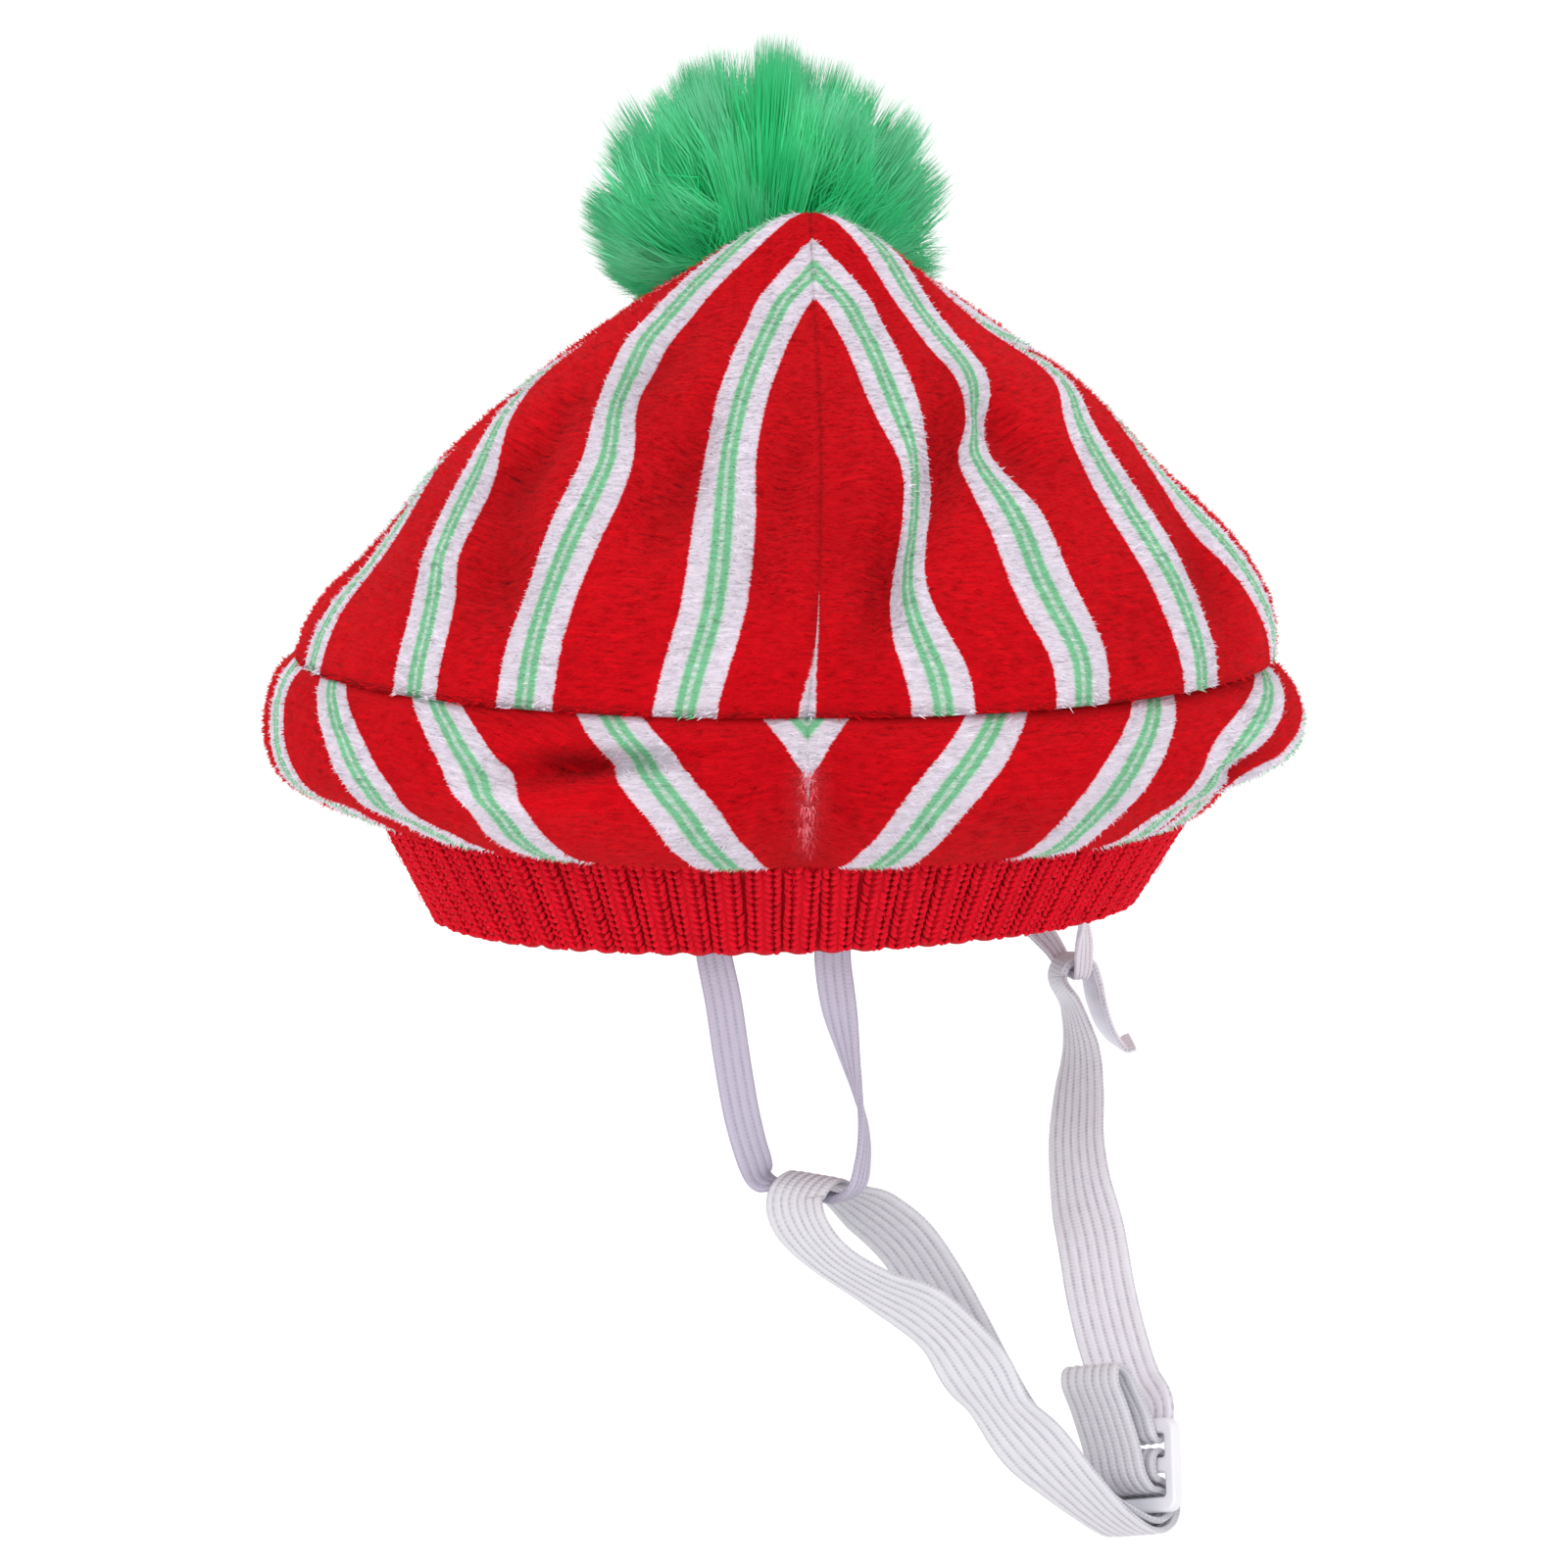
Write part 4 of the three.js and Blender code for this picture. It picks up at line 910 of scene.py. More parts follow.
def pile(name, points, cloth, count, seed, nap, material, scale=1.0):
    """Short pile: thin three-sided blades rooted evenly over a grid, each leaning with the nap.

    A blade takes the print of the cloth under each of its ends, and the light of the face under it.
    """
    random = np.random.default_rng(seed)
    across = points[:-1, 1:] - points[:-1, :-1]
    up = points[1:, :-1] - points[:-1, :-1]
    area = np.linalg.norm(np.cross(across, up), axis=-1).ravel()
    cell = random.choice(area.size, count, p=area / area.sum())
    row, column = np.divmod(cell, points.shape[1] - 1)
    right, rise = random.random((2, count, 1))

    def each_blade(low, high):
        return random.uniform(low, high, count)[:, None]

    def at(values):
        low = values[row, column] * (1 - right) + values[row, column + 1] * right
        high = values[row + 1, column] * (1 - right) + values[row + 1, column + 1] * right
        return low * (1 - rise) + high * rise

    aside, upward = np.gradient(points, axis=1), np.gradient(points, axis=0)
    normal = unit(at(grid_normals(points)))
    sideways = unit(at(aside))
    heading = np.radians(nap) + random.normal(0, PILE_HEADING_SPREAD * scale, (count, 1))
    lean = random.normal(PILE_LEAN, PILE_LEAN_SPREAD, (count, 1))
    lean = np.radians(np.clip(lean, *PILE_LEAN_RANGE))
    length = scale * PILE_LENGTH * each_blade(0.65, 1.25)
    flat = np.cos(heading) * sideways + np.sin(heading) * np.cross(normal, sideways)
    axis = unit(normal * np.cos(lean) + flat * np.sin(lean))
    side = unit(np.cross(axis, normal))
    lift = np.cross(side, axis)
    root = at(points) - (CLOTH_SINK + PILE_ROOT_DEPTH) * normal
    spread = PILE_WIDTH * each_blade(0.7, 1.3)
    corners = [root + spread * each for each in three_sides(side, PILE_FLATNESS * lift, 90)]
    blades = np.stack([*corners, root + axis * length], 1)

    step_aside = np.gradient(cloth[0], axis=1) / np.linalg.norm(aside, axis=-1)
    step_up = np.gradient(cloth[0], axis=0) / np.linalg.norm(upward, axis=-1)
    step_aside, step_up = at(np.stack([step_aside, step_up], -1)).T[..., None]
    throw = (step_aside * np.cos(heading) + step_up * np.sin(heading)) * length * np.sin(lean)
    throw = np.clip(throw, -PILE_LENGTH, PILE_LENGTH)
    # The cloth's tone under each blade is the painted shade of the folds; each blade adds a random
    # tone.
    place, along, tone, seam, bleach = at(np.moveaxis(cloth, 0, -1)).T[..., None]
    tone = tone + random.normal(0, 0.6, (count, 1))
    tip = np.array((0, 0, 0, 1))
    layers = {"cloth": (place + throw * tip, along, tone),
              "pile": (FOOT_HEIGHT + (1 - FOOT_HEIGHT) * tip, seam, bleach)}
    facing = unit(normal + 0.25 * lift + random.normal(0, 0.1, (count, 3)))
    faces = copies(((1, 0, 3), (2, 1, 3), (0, 2, 3), (0, 1, 2)), 4, count)
    normals = np.repeat(facing, 4, axis=0)
    add("plush", name, blades, [faces], material, layers, normals=normals, cells=True)


def crown_sheet(turn, rise):
    """Crown with its hem: under the lip the cloth turns down and in on a quarter round."""
    hem = np.clip(-rise / HEM, 0, 1) * np.pi / 2
    shift = round_hat(-HEM_IN * (1 - np.cos(hem)), turn, -HEM_DROP * np.sin(hem))
    return crown_point(turn, np.maximum(rise, 0)) + shift


def make_crown(material):
    hem = np.linspace(-HEM, 0, HEM_ROWS + 1)[:-1]
    rise = np.concatenate([hem, np.linspace(0, TIP_STOP, GORE_ROWS)])[:, None]
    ring = LIP_RADIUS * (1 - np.maximum(rise, 0) ** CROWN_SPACING)
    margin = -np.degrees(SEAM_LAP / np.maximum(ring, 4))
    for index, name in enumerate(("front_right", "back_right", "back_left", "front_left")):
        turn = 90 * index + margin + (90 - 2 * margin) * np.linspace(0, 1, GORE_COLUMNS)[None, :]
        points = crown_sheet(turn, rise)
        tables = (LEFT_STRIPES, RIGHT_STRIPES)
        stripes = striped_cloth(turn, rise, ring, points, tables, GATHERS, TIP_NARROWING)
        # Painted shade: the folds are painted darker the deeper they are.
        tone = -FOLD_SHADE * crown_depth(turn, rise, CROWN_FOLDS)
        cloth = grid_of(*stripes, tone, seam_distance(turn, ring, 90), 0)
        wall("gore_" + name, points, cloth, material, "crown_gore_" + name)
        pile("gore_pile_" + name, points[HEM_ROWS:], cloth[:, HEM_ROWS:], GORE_BLADES, 10 + index,
             GORE_NAP[index], material)


def seam_bleach(turn, along):
    """Worn pale streak at the under ring's seams: full under the printed triangle, gone at the band."""
    aside = seam_distance(turn, UNDER_INNER + UNDER_REACH, 180)
    between = ramp(along, *STREAK_STARTS) * (1 - ramp(along, *STREAK_ENDS))
    return bell(aside / STREAK_HALF_WIDTH) * between


def make_under_ring(material):
    along = np.linspace(0, UNDER_TURN_IN, UNDER_ROWS)[:, None]
    ring = UNDER_INNER + UNDER_REACH * np.maximum(np.cos(np.radians(under_profile(along))), 0)
    margin = -np.degrees(SEAM_LAP / UNDER_INNER)
    outside = round(UNDER_ROWS / UNDER_TURN_IN)
    for index, name in enumerate(("right", "left")):
        turn = 180 * index + margin + (180 - 2 * margin) * np.linspace(0, 1, UNDER_COLUMNS)[None, :]
        points = under_point(turn, along)
        stripes = striped_cloth(turn, along, ring, points, (UNDER_LEFT_STRIPES, UNDER_RIGHT_STRIPES))
        # Painted shade in the hollows of the folds and of the seams' pinch, painted light where a fold
        # bulges out.
        tone = -FOLD_SHADE * under_depth(turn, along, UNDER_FOLDS)
        cloth = grid_of(*stripes, tone, FAR_FROM_SEAM, STREAK_ON_CLOTH * seam_bleach(turn, along))
        wall("under_" + name, points, cloth, material, "under_ring_" + name)
        pile("under_pile_" + name, points[:outside], cloth[:, :outside], UNDER_BLADES, 20 + index,
             UNDER_NAP[index], material)


def make_seam_fluff(material):
    """Wisps of pale pile out of the under ring's front and back seams, fewer and redder lower down."""
    along = np.linspace(FLUFF_FROM, FLUFF_TO, 24)[:, None]
    aside = np.linspace(-1, 1, 5)[None, :]
    for index, (name, seam) in enumerate((("front", 0), ("back", 180))):
        points = under_point(seam + FLUFF_HALF_TURN * aside, along)
        place = STRIPE_HALF + 0.06 + 0.5 * np.abs(aside) + 0.5 * (FLUFF_TO - along)
        bleach = seam_bleach(seam + FLUFF_PALE_TURN * aside, along)
        cloth = grid_of(place, arc_length(points), 0, FAR_FROM_SEAM, bleach)
        pile("seam_fluff_" + name, points, cloth, FLUFF_BLADES, 30 + index, FLUFF_NAP, material,
             FLUFF_SCALE)


def band_radius(z):
    return BAND_RIM_RADIUS + (BAND_TOP_RADIUS - BAND_RIM_RADIUS) * z / BAND_HEIGHT


def band_frame(turn, z, out):
    """Point of the knit band, out from its funnel face; the mouth is lifted at the right and front."""
    angle = np.radians(turn)
    lift = MOUTH_LIFT_RIGHT * np.sin(angle) + MOUTH_LIFT_FRONT * (0.5 + 0.5 * np.cos(angle)) ** 2
    return round_hat(band_radius(z) + out, turn, z + lift * (1 - z / BAND_HEIGHT))


def make_band(material):
    """Ribbed tube: a closed profile down the outside, round the rim and up the inside."""
    turn = np.arange(BAND_RIBS * RIB_POINTS)[:, None] * 360 / (BAND_RIBS * RIB_POINTS)
    down = np.linspace(BAND_HEIGHT + BAND_TUCK, RIM_ROUND, 15)
    rim = np.radians(np.linspace(0, 180, 9))[1:-1]
    face = np.concatenate([0 * down + 1, np.cos(rim), 0 * down - 1])
    z = np.concatenate([down, RIM_ROUND * (1 - np.sin(rim)), down[::-1]])
    out = -BAND_SINK + BAND_WALL / 2 * (face - 1)
    wave = np.cos(np.radians(turn) * BAND_RIBS)
    ribs = RIB_RELIEF * np.sign(wave) * np.abs(wave) ** RIB_POWER
    fade = np.clip((BAND_HEIGHT + 0.4 - z) / 1.5, 0, 1)
    hang = RIB_HANG * ribs * np.clip(1 - z / RIB_HANG_REACH, 0, 1)
    points = band_frame(turn, z - hang, out + ribs * face * fade)
    rows, columns = points.shape[:2]
    order = np.arange(rows * columns).reshape(rows, columns).T
    ring, onward = order, np.roll(order, -1, axis=1)
    top = np.stack([ring[0], onward[0], onward[-1], ring[-1]], -1)
    sides = order.ravel()[grid_faces(columns, rows, closed=True)]
    # Painted shade: the body behind the stitches is painted darker, most in the valleys between ribs.
    depth = 0.5 + 0.5 * wave + 0 * z
    add("knit", "knit_band_body", points, [np.concatenate([sides[:, ::-1], top])], material,
        {"yarn": (0.1 + depth * 0.4, 0, 0)}, "knit_band")
    make_stitches(material)
    make_loose_fibres(material)


def make_stitches(material):
    """Stitches: leaf-shaped legs in V pairs, two columns of V on each rib, in rows down the band."""
    random = np.random.default_rng(31)
    rib, wale, leg, row = (each.ravel() for each in np.meshgrid(
        np.arange(BAND_RIBS), (-1, 1), (-1, 1), np.arange(STITCH_ROWS), indexing="ij"))
    count = rib.size
    shift = random.uniform(-0.5, 0.5, (BAND_RIBS, 2))[rib, (wale + 1) // 2]
    z = STITCH_START + (row + 0.4 + 0.5 * shift) * STITCH_PITCH + random.normal(0, 0.05, count)
    sway = random.normal(0, (0.06, 0.14), (BAND_RIBS, 2))[rib]
    wander = sway[:, 0] + sway[:, 1] * (z / BAND_HEIGHT - 0.5)
    aside = wale * WALE_ASIDE + leg * LEG_ASIDE + random.normal(0, 0.04, count)
    turn = rib * 360 / BAND_RIBS + np.degrees((aside + wander) / MIDDLE_RADIUS)
    out = STITCH_OUT - STITCH_CURVE * aside ** 2 + random.normal(0, 0.04, count)
    step = 0.5
    sideways = unit(band_frame(turn + step, z, out) - band_frame(turn - step, z, out))
    upward = unit(band_frame(turn, z + step, out) - band_frame(turn, z - step, out))
    normal = np.cross(sideways, upward)
    tilt = np.radians(leg * LEG_TILT + random.normal(0, 7, count))[:, None]
    axis = np.cos(tilt) * upward + np.sin(tilt) * sideways
    vectors = (band_frame(turn, z, out), axis, np.cross(axis, normal), normal)
    middle, axis, width, normal = (each[:, None, None] for each in vectors)
    along, fat, bow = np.array(STITCH_RINGS).T[..., None, None]
    around = np.radians(np.arange(STITCH_SIDES) * 360 / STITCH_SIDES + 18)
    squeeze = band_radius(z) / MIDDLE_RADIUS * random.uniform(0.9, 1.12, count)
    wide = STITCH_HALF_WIDTH * squeeze[:, None, None, None] * fat * np.cos(around)[:, None]
    high = STITCH_HALF_DEPTH * fat * np.sin(around)[:, None]
    rings = middle + STITCH_HALF_LENGTH * along * axis + bow * normal + wide * width + high * normal
    fan = np.array(((0, 1, 2), (0, 2, 3), (0, 3, 4)))
    last = STITCH_SIDES * (len(STITCH_RINGS) - 1)
    quads = grid_faces(len(STITCH_RINGS), STITCH_SIDES, closed=True)[:, ::-1]
    leaf = np.concatenate([halved(quads), fan, fan[:, ::-1] + last])
    faces = copies(leaf, last + STITCH_SIDES, count)
    tone = random.normal(0, 0.5, count)[:, None, None]
    # Painted shade: each leg is painted darker on its side towards the band.
    add("knit", "knit_stitches", rings, [faces], material,
        {"yarn": (0.5 + 0.5 * np.sin(around), tone, 0 * along[..., 0])}, cells=True)


def make_loose_fibres(material):
    """Stray fibres of the yarn: short bowed threads, three-sided, both ends in the knit."""
    random = np.random.default_rng(37)

    def each_fibre(low, high):
        return random.uniform(low, high, (LOOSE_FIBRES, 1))

    turn = each_fibre(0, 360)
    z = each_fibre(0.8, BAND_HEIGHT - 1)
    heading = each_fibre(0, math.pi)
    share = np.linspace(-1, 1, FIBRE_POINTS)[None, :]
    reach = each_fibre(0.7, 1.9) * share
    bend = random.normal(0, 0.6, (LOOSE_FIBRES, 1)) * (1 - share ** 2)
    around = turn + np.degrees((reach * np.cos(heading) - bend * np.sin(heading)) / MIDDLE_RADIUS)
    up = np.clip(z + reach * np.sin(heading) + bend * np.cos(heading), 0.4, BAND_HEIGHT)
    line = band_frame(around, up, 0.4 + each_fibre(0.3, 0.9) * (1 - share ** 2))
    travel = unit(np.gradient(line, axis=1))
    side = unit(np.cross(travel, np.array((0.3, 0.2, 0.93))))
    around = three_sides(side, np.cross(travel, side))
    rings = np.stack([line + FIBRE_RADIUS * each for each in around], 2)
    count = 3 * FIBRE_POINTS
    ends = ((0, 2, 1), (count - 3, count - 2, count - 1))
    tube = np.concatenate([halved(grid_faces(FIBRE_POINTS, 3, closed=True)), ends])
    add("knit", "knit_loose_fibres", rings, [copies(tube, count, LOOSE_FIBRES)], material,
        {"yarn": (np.ones(count * LOOSE_FIBRES), 3, 0)}, cells=True)


def crown_heights():
    """Height of the crown over a square of one-millimetre cells, for fur to rest on."""
    turn, rise = np.linspace(0, 360, 1441)[None, :], np.linspace(0, 1, 500)[:, None]
    points = crown_point(turn, rise).reshape(-1, 3)
    heights = np.zeros((2 * MAP_HALF, 2 * MAP_HALF))
    cell = np.round(points[:, :2] + MAP_HALF).astype(int)
    np.maximum.at(heights, (cell[:, 0], cell[:, 1]), points[:, 2])
    return heights


def even_directions(count):
    """Directions spread evenly over a ball, on a golden spiral."""
    index = np.arange(count) + 0.5
    height = 1 - 2 * index / count
    ring = np.sqrt(1 - height * height)
    turn = index * math.pi * (3 - math.sqrt(5))
    return np.stack([ring * np.cos(turn), ring * np.sin(turn), height], -1)


def make_pompom(material):
    """Fur ball: long curved strands drawn together in locks, over short straight fine fur."""
    heights = crown_heights()

    def above_crown(points, clear):
        cell = np.clip(np.round(points[..., :2] + MAP_HALF).astype(int), 0, 2 * MAP_HALF - 1)
        lowest = heights[cell[..., 0], cell[..., 1]] + clear
        lifted = points.copy()
        lifted[..., 2] = np.maximum(points[..., 2], lowest)
        return lifted

    random = np.random.default_rng(41)
    locks = unit(even_directions(FUR_LOCKS) + random.normal(0, 0.06, (FUR_LOCKS, 3)))
    lock_facts = [random.normal(0, 1.3, (FUR_LOCKS, 1)), random.uniform(0.2, 0.55, (FUR_LOCKS, 1)),
                  random.normal(0, 0.13, (FUR_LOCKS, 3)), random.normal(0, 1, (FUR_LOCKS, 2))]
    source = POMPOM + FUR_SOURCE

    def strands(count, feet):
        """Feet and tips on lines that fan out from the sewn spot, drawn to the nearest lock, and looks.

        Strands are shorter at the lower left of the ball.
        """
        way = unit(even_directions(count) + random.normal(0, 0.03, (count, 3)))
        nearest = np.argmax(way @ locks.T, axis=1)
        reach, pull, lean, look = (fact[nearest] for fact in lock_facts)
        stray = random.normal(0, 0.05, (count, 3))
        drawn = unit(way * (1 - pull) + locks[nearest] * pull + lean + stray)
        far = FUR_REACH + reach - 4 * random.random((count, 1)) ** 2 + random.normal(0, 0.5, (count, 1))
        low = np.clip(-drawn[:, 2:] / 0.4, 0, 1) ** 1.5
        far = far * (1 - LOW_LEFT_SHORTER * low * np.clip(-2 * drawn[:, :1], 0, 1))
        tip = above_crown(POMPOM + drawn * far, FUR_CLEAR)
        start = random.uniform(*feet, (count, 1))
        foot = above_crown(source + (tip - source) * start, FUR_CLEAR)
        tone = random.normal(0, 0.35, (count, 1)) + 0.55 * look[:, :1]
        pale = np.clip(random.normal(0.42, 0.16, (count, 1)) + 0.32 * look[:, 1:], 0, 1)
        axis = unit(tip - foot)
        side = unit(np.cross(axis, unit(random.normal(0, 1, (count, 3)))))
        return foot, tip, three_sides(side, np.cross(axis, side)), lean, start, tone, pale

    def fur(name, points, ring, triangles, along, looks, *nodes):
        """Strands lit as on a smooth ball, with a little of each strand's own roundness."""
        normals = unit(unit(points - FUR_LIGHT_CENTRE) + FUR_ROUNDNESS * np.stack(ring, 1))
        faces = copies(triangles, points.shape[1], len(points))
        layers = {"strand": (np.concatenate(along, 1), *looks)}
        add("fur", name, points, [faces], material, layers, *nodes, normals=normals, cells=True)

    foot, tip, ring, lean, start, *looks = strands(LONG_STRANDS, LONG_FEET)
    knee = foot + (tip - foot) * KNEE - KNEE_BEND * lean + np.array((0, 0, KNEE_RISE))
    knee = above_crown(knee, INNER_CLEAR)
    thick = random.uniform(0.8, 1.25, (LONG_STRANDS, 1))
    points = np.stack([*(foot + FOOT_RADIUS * thick * each for each in ring),
                       *(knee + KNEE_RADIUS * thick * each for each in ring), tip], 1)
    triangles = ((0, 1, 4), (0, 4, 3), (1, 2, 5), (1, 5, 4), (2, 0, 3), (2, 3, 5),
                 (3, 4, 6), (4, 5, 6), (5, 3, 6), (0, 2, 1))
    along = [start] * 3 + [(1 - KNEE) * start + KNEE] * 3 + [np.ones_like(start)]
    fur("pompom_fur", points, [*ring, *ring, 0 * tip], triangles, along, looks, "pompom")

    foot, tip, ring, _, start, *looks = strands(SHORT_STRANDS, SHORT_FEET)
    thick = random.uniform(0.1, 0.16, (SHORT_STRANDS, 1))
    points = np.stack([*(foot + thick * each for each in ring), tip], 1)
    triangles = ((0, 1, 3), (1, 2, 3), (2, 0, 3), (0, 2, 1))
    along = [start] * 3 + [np.ones_like(start)]
    fur("pompom_undercoat", points, [*ring, 0 * tip], triangles, along, looks)
    make_pompom_core(material, above_crown)


def make_pompom_core(material, above_crown):
    """Lumpy ball under the fur, closed at its poles."""
    polar = np.linspace(0, np.pi, CORE_RINGS + 2)[1:-1, None]
    turn = np.linspace(0, 2 * np.pi, CORE_SIDES, endpoint=False)[None, :]
    lump = 1 + 0.03 * np.sin(5 * turn) * np.sin(4 * polar) + 0.02 * np.sin(9 * turn + 3 * polar)
    radius = POMPOM_CORE * lump
    ball = np.stack([radius * np.sin(polar) * np.cos(turn), radius * np.sin(polar) * np.sin(turn),
                     radius * np.cos(polar)], -1)
    poles = np.array(((0, 0, POMPOM_CORE), (0, 0, -POMPOM_CORE)))
    points = above_crown(POMPOM + np.concatenate([ball.reshape(-1, 3), poles]), INNER_CLEAR)
    faces = grid_faces(CORE_RINGS, CORE_SIDES, closed=True)[:, ::-1]
    ring = np.arange(CORE_SIDES)
    onward = np.roll(ring, -1)
    low = CORE_SIDES * (CORE_RINGS - 1)
    north = np.full(CORE_SIDES, low + CORE_SIDES)
    caps = np.concatenate([np.stack([ring, onward, north], -1),
                           np.stack([low + onward, low + ring, north + 1], -1)])
    add("fur", "pompom_core", points, [faces, caps], material,
        {"strand": (np.full(len(points), 0.1), 0, 0.2)})


def smooth_route(rows, per_row):
    """Centripetal Catmull-Rom through the rows: middle line, width on its own spacing, and gather."""
    rows = np.asarray(rows, float)
    ends = np.concatenate([[2 * rows[0] - rows[1]], rows, [2 * rows[-1] - rows[-2]]])
    share = np.arange((len(rows) - 1) * per_row + 1) / per_row
    index = np.minimum(share.astype(int), len(rows) - 2)
    s = (share - index)[:, None]
    columns = []
    for group in (slice(0, 3), slice(3, 6)):
        p0, p1, p2, p3 = (ends[index + step, group] for step in range(4))
        d0, d1, d2 = (np.maximum(np.linalg.norm(b - a, axis=1, keepdims=True), 1e-4) ** 0.5
                      for a, b in ((p0, p1), (p1, p2), (p2, p3)))
        t1 = ((p1 - p0) / d0 - (p2 - p0) / (d0 + d1) + (p2 - p1) / d1) * d1
        t2 = ((p2 - p1) / d1 - (p3 - p1) / (d1 + d2) + (p3 - p2) / d2) * d1
        columns.append(
            p1 + t1 * s + (3 * (p2 - p1) - 2 * t1 - t2) * s ** 2 + (2 * (p1 - p2) + t1 + t2) * s ** 3)
    return *columns, np.interp(share, np.arange(len(rows)), rows[:, 6])


def elastic(name, route, stations, size, material, node, painted_light_from=NO_PAINTED_LIGHT):
    """Flat elastic: a thin rounded section with lengthwise ribs, carried along its route.

    From the length given last on, it is painted paler: painted light where the hat keeps light off.
    """
    width, thick, ribs = size
    middle, across, gather = smooth_route(route, stations)
    travel = unit(np.gradient(middle, axis=0))
    across = unit(across - np.sum(across * travel, axis=1, keepdims=True) * travel)
    face = np.cross(travel, across)
    length = arc_length(middle[:, None, :])
    flat = np.linspace(-1, 1, ribs * RIB_STEPS + 1)
    edge = np.sqrt(np.maximum(1 - np.abs(flat) ** EDGE_POWER, 0.04))
    relief = 1 - GROOVE - GROOVE * np.cos(math.pi * ribs * (flat + 1))
    upper = edge * np.where(np.abs(flat) > 0.97, 0.8, relief)
    section = np.concatenate([np.stack([flat, upper], -1), np.stack([flat[::-1], -upper[::-1]], -1)])
    half = (width * gather / 2)[:, None, None]
    deep = (thick / 2 * (1 + 0.7 * (1 - gather)))[:, None, None]
    points = (middle[:, None, :] + section[None, :, :1] * half * across[:, None, :]
              + section[None, :, 1:] * deep * face[:, None, :])
    count, around = points.shape[:2]
    low = np.arange(len(flat) - 1)
    cap = np.stack([low, low + 1, around - 2 - low, around - 1 - low], -1)
    sides = grid_faces(count, around, closed=True)
    faces = np.concatenate([sides, cap[:, ::-1], cap + (count - 1) * around])
    # The third number is the share of painted light, rising from the given length on.
    weave = (section[:, 0] + 1) / 2, length, ramp(length, painted_light_from, painted_light_from + PAINTED_LIGHT_BLEND)
    add("elastic", name, points, [faces], material, {"weave": weave}, node)


def slide_axes():
    along = unit(SLIDE_ALONG)
    face = unit(np.cross(along, SLIDE_RISE))
    return along, unit(np.cross(face, along)), face


def round_bars(rows):
    """Rows measured on the slide, turned into rows of a route with the width along the bars."""
    along, up, face = slide_axes()
    rows = np.array(rows, float)
    points = SLIDE_CENTRE + rows[:, :1] * face + rows[:, 1:] * up
    return np.concatenate([points, np.tile(along, (len(rows), 1)), np.ones((len(rows), 1))], 1)


def make_elastics():
    narrow = elastic_finish("narrow_elastic", NARROW_COLOURS, NARROW[-1])
    wide = elastic_finish("wide_elastic", WIDE_COLOURS, WIDE[-1])
    route = np.concatenate([round_bars(SEWN_END), FRONT_RUN, round_bars(SLACK_RUN), RIGHT_RUN])
    elastic("near_loop_elastic", NEAR_LOOP_ROUTE, LOOP_STATIONS, NARROW, narrow, "near_loop")
    # Painted light on the whole far loop, and on the chin strap past the slide.
    elastic("far_loop_elastic", FAR_LOOP_ROUTE, LOOP_STATIONS, NARROW, narrow, "far_loop", ALL_PAINTED_LIGHT)
    elastic("chin_strap_elastic", route, STRAP_STATIONS, WIDE, wide, "chin_strap", PAINTED_LIGHT_PAST_SLIDE)


def rounded_rectangle(width, height, centre, corner):
    """Outline of a rounded rectangle: a quarter circle at each corner in turn."""
    turn = np.radians(np.linspace(0, 90, 8))
    pieces = []
    for quarter, (side, end) in enumerate(((1, 1), (-1, 1), (-1, -1), (1, -1))):
        spun = turn + quarter * math.pi / 2
        middle = (side * (width / 2 - corner), centre + end * (height / 2 - corner))
        pieces.append(corner * np.stack([np.cos(spun), np.sin(spun)], -1) + middle)
    return np.concatenate(pieces)


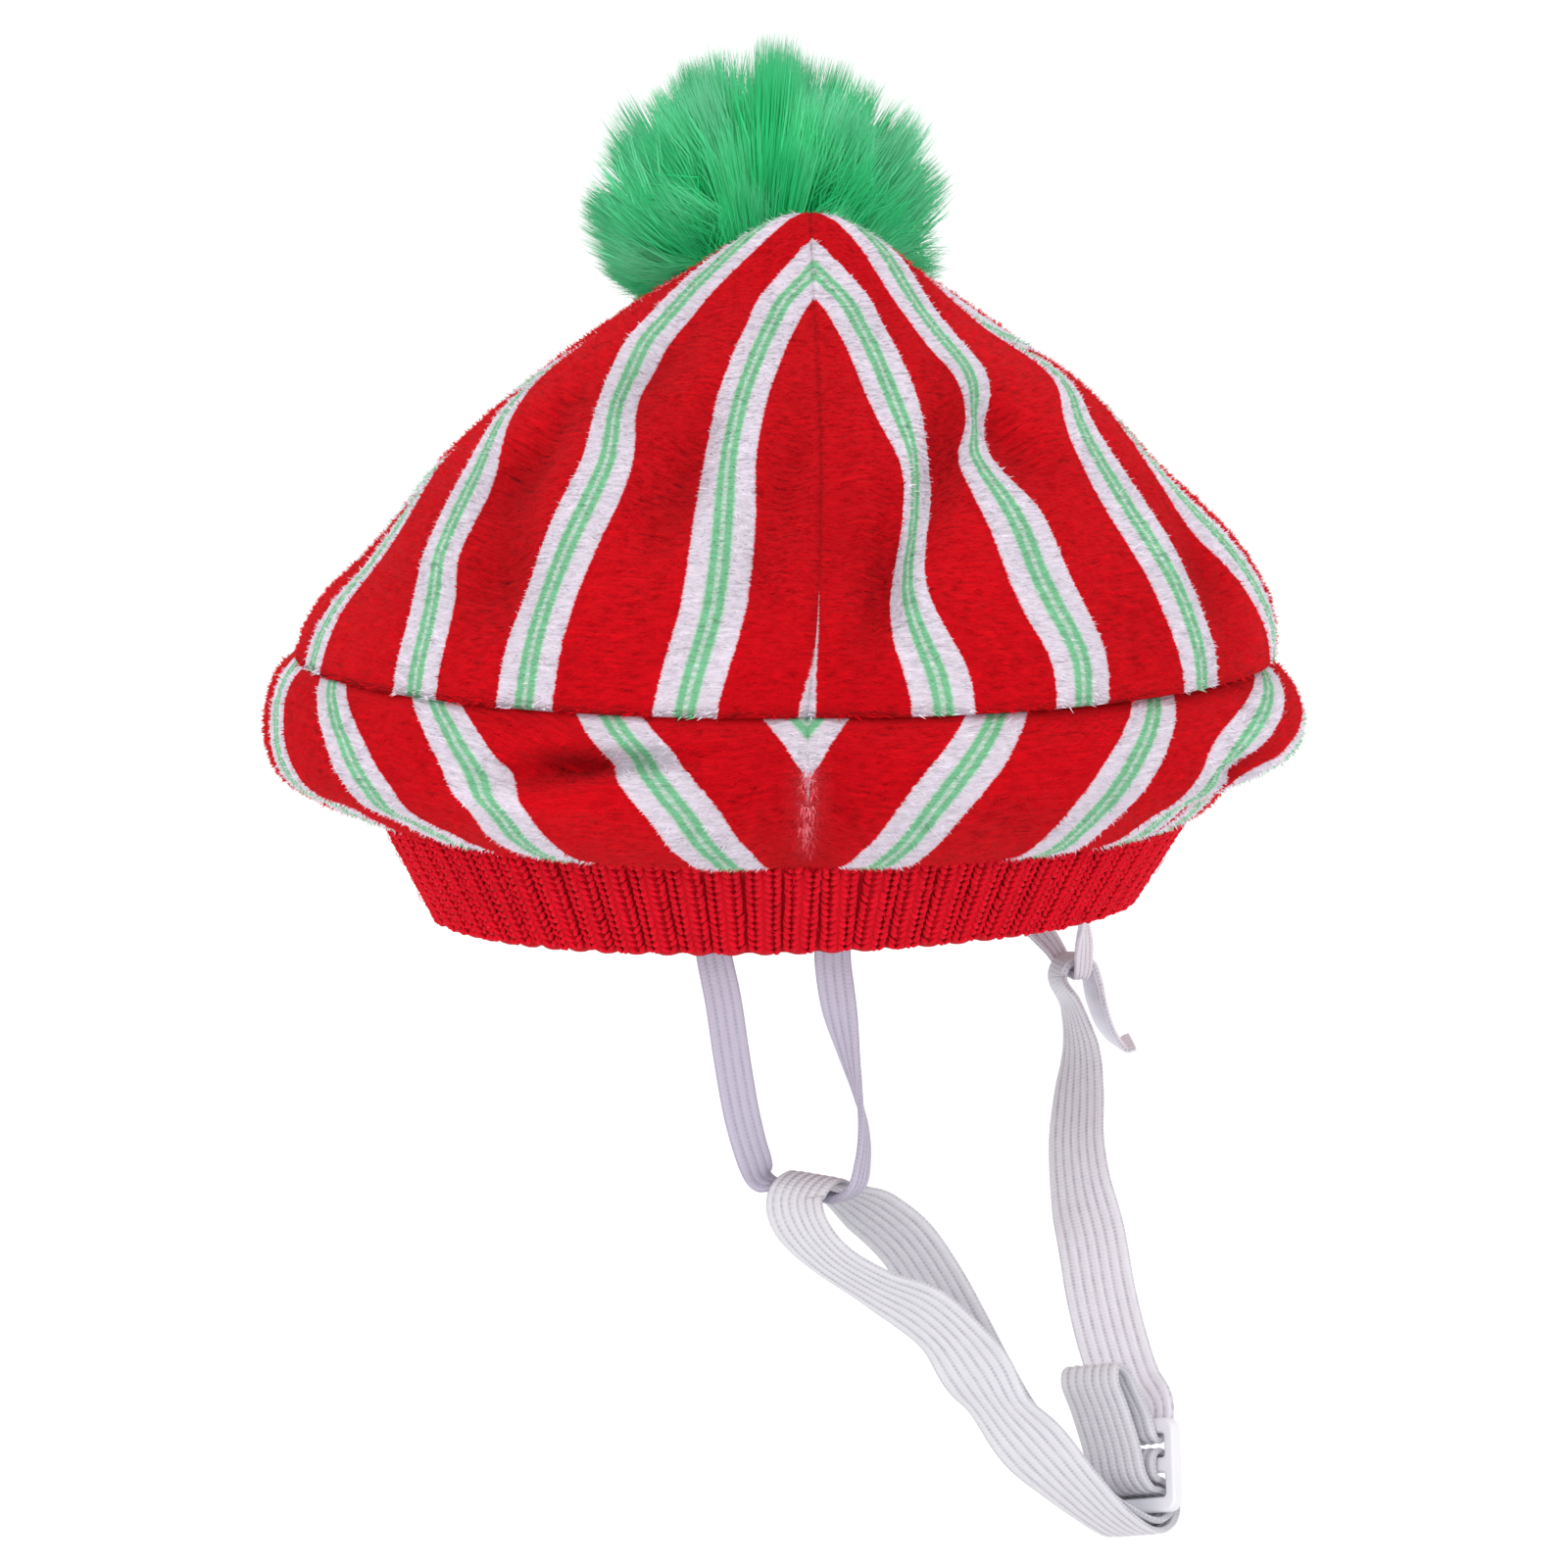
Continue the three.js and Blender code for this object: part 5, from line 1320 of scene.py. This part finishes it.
def make_slide(material):
    """Moulded slide: a plate with two slots and rounded edges, stood on its own axes."""
    outline = bpy.data.curves.new("slide_outline", "CURVE")
    outline.dimensions = "2D"
    outline.fill_mode = "BOTH"
    outline.extrude = (SLIDE_THICK / 2 - SLIDE_ROUND) * MM
    outline.bevel_depth = SLIDE_ROUND * MM
    outline.bevel_resolution = 4
    outline.offset = -SLIDE_ROUND * MM
    loops = [rounded_rectangle(SLIDE_LENGTH, SLIDE_HEIGHT, 0, SLIDE_CORNER)]
    loops += [rounded_rectangle(SLOT_LENGTH, SLOT_HEIGHT, side * SLOT_MIDDLE, SLOT_CORNER)[::-1]
              for side in (-1, 1)]
    for loop in loops:
        spline = outline.splines.new("POLY")
        spline.points.add(len(loop) - 1)
        flat = np.concatenate([loop * MM, np.zeros((len(loop), 1)), np.ones((len(loop), 1))], 1)
        spline.points.foreach_set("co", flat.ravel())
        spline.use_cyclic_u = True
    shape = link("slide_outline", outline)
    mesh = bpy.data.meshes.new_from_object(shape)
    bpy.data.objects.remove(shape)
    mesh.name = "slide_plate"
    flat = np.zeros(len(mesh.vertices) * 3, np.float32)
    mesh.vertices.foreach_get("co", flat)
    placed = flat.reshape(-1, 3) @ np.array(slide_axes()) + SLIDE_CENTRE * MM
    mesh.vertices.foreach_set("co", placed.astype(np.float32).ravel())
    mesh.update()
    mesh.materials.clear()
    mesh.materials.append(material)
    finish_piece(link("slide_plate", mesh), "plastic", "strap_slide")


def look_at(thing, eye, target):
    """Turns a camera or light so that its -Z axis points from eye to target."""
    back = unit(eye - target)
    right = unit(np.cross((0, 0, 1), back))
    matrix = np.eye(4)
    matrix[:3, :3] = np.stack([right, np.cross(back, right), back], 1)
    matrix[:3, 3] = eye * MM
    thing.matrix_world = matrix.T.tolist()


def make_camera():
    camera = link("camera", bpy.data.cameras.new("camera"))
    camera.data.sensor_width = SENSOR
    camera.data.lens = SENSOR * CAMERA_DISTANCE / FRAME_SPAN
    camera.data.clip_end = CLIP_END
    turn, tilt = math.radians(CAMERA_TURN), math.radians(CAMERA_ELEVATION)
    away = np.array((math.sin(turn) * math.cos(tilt), -math.cos(turn) * math.cos(tilt), math.sin(tilt)))
    look_at(camera, CAMERA_TARGET + away * CAMERA_DISTANCE, CAMERA_TARGET)
    bpy.context.scene.camera = camera


def make_studio():
    """Soft light from above and the front in an even white room, over a wide pale floor."""
    corners = FLOOR_REACH * np.array(((-1, -1, 0), (1, -1, 0), (1, 1, 0), (-1, 1, 0))) + (0, 0, FLOOR_Z)
    put("floor", corners, [np.arange(4)[None, :]], floor_finish())
    world = bpy.data.worlds.new("studio")
    world.use_nodes = True
    background = world.node_tree.nodes["Background"]
    background.inputs["Color"].default_value = (1, 1, 1, 1)
    background.inputs["Strength"].default_value = 1.0
    bpy.context.scene.world = world
    for name, place, spread, strength in SUNS:
        lamp = bpy.data.lights.new(name, "SUN")
        lamp.angle = math.radians(spread)
        lamp.energy = strength
        look_at(link(name, lamp), np.array(place, float), np.zeros(3))
    bpy.context.scene.view_settings.view_transform = "Standard"


make_camera()
make_studio()
plush = plush_finish()
make_crown(plush)
make_under_ring(plush)
make_seam_fluff(plush)
make_band(knit_finish())
make_pompom(fur_finish())
make_elastics()
make_slide(plastic_finish())
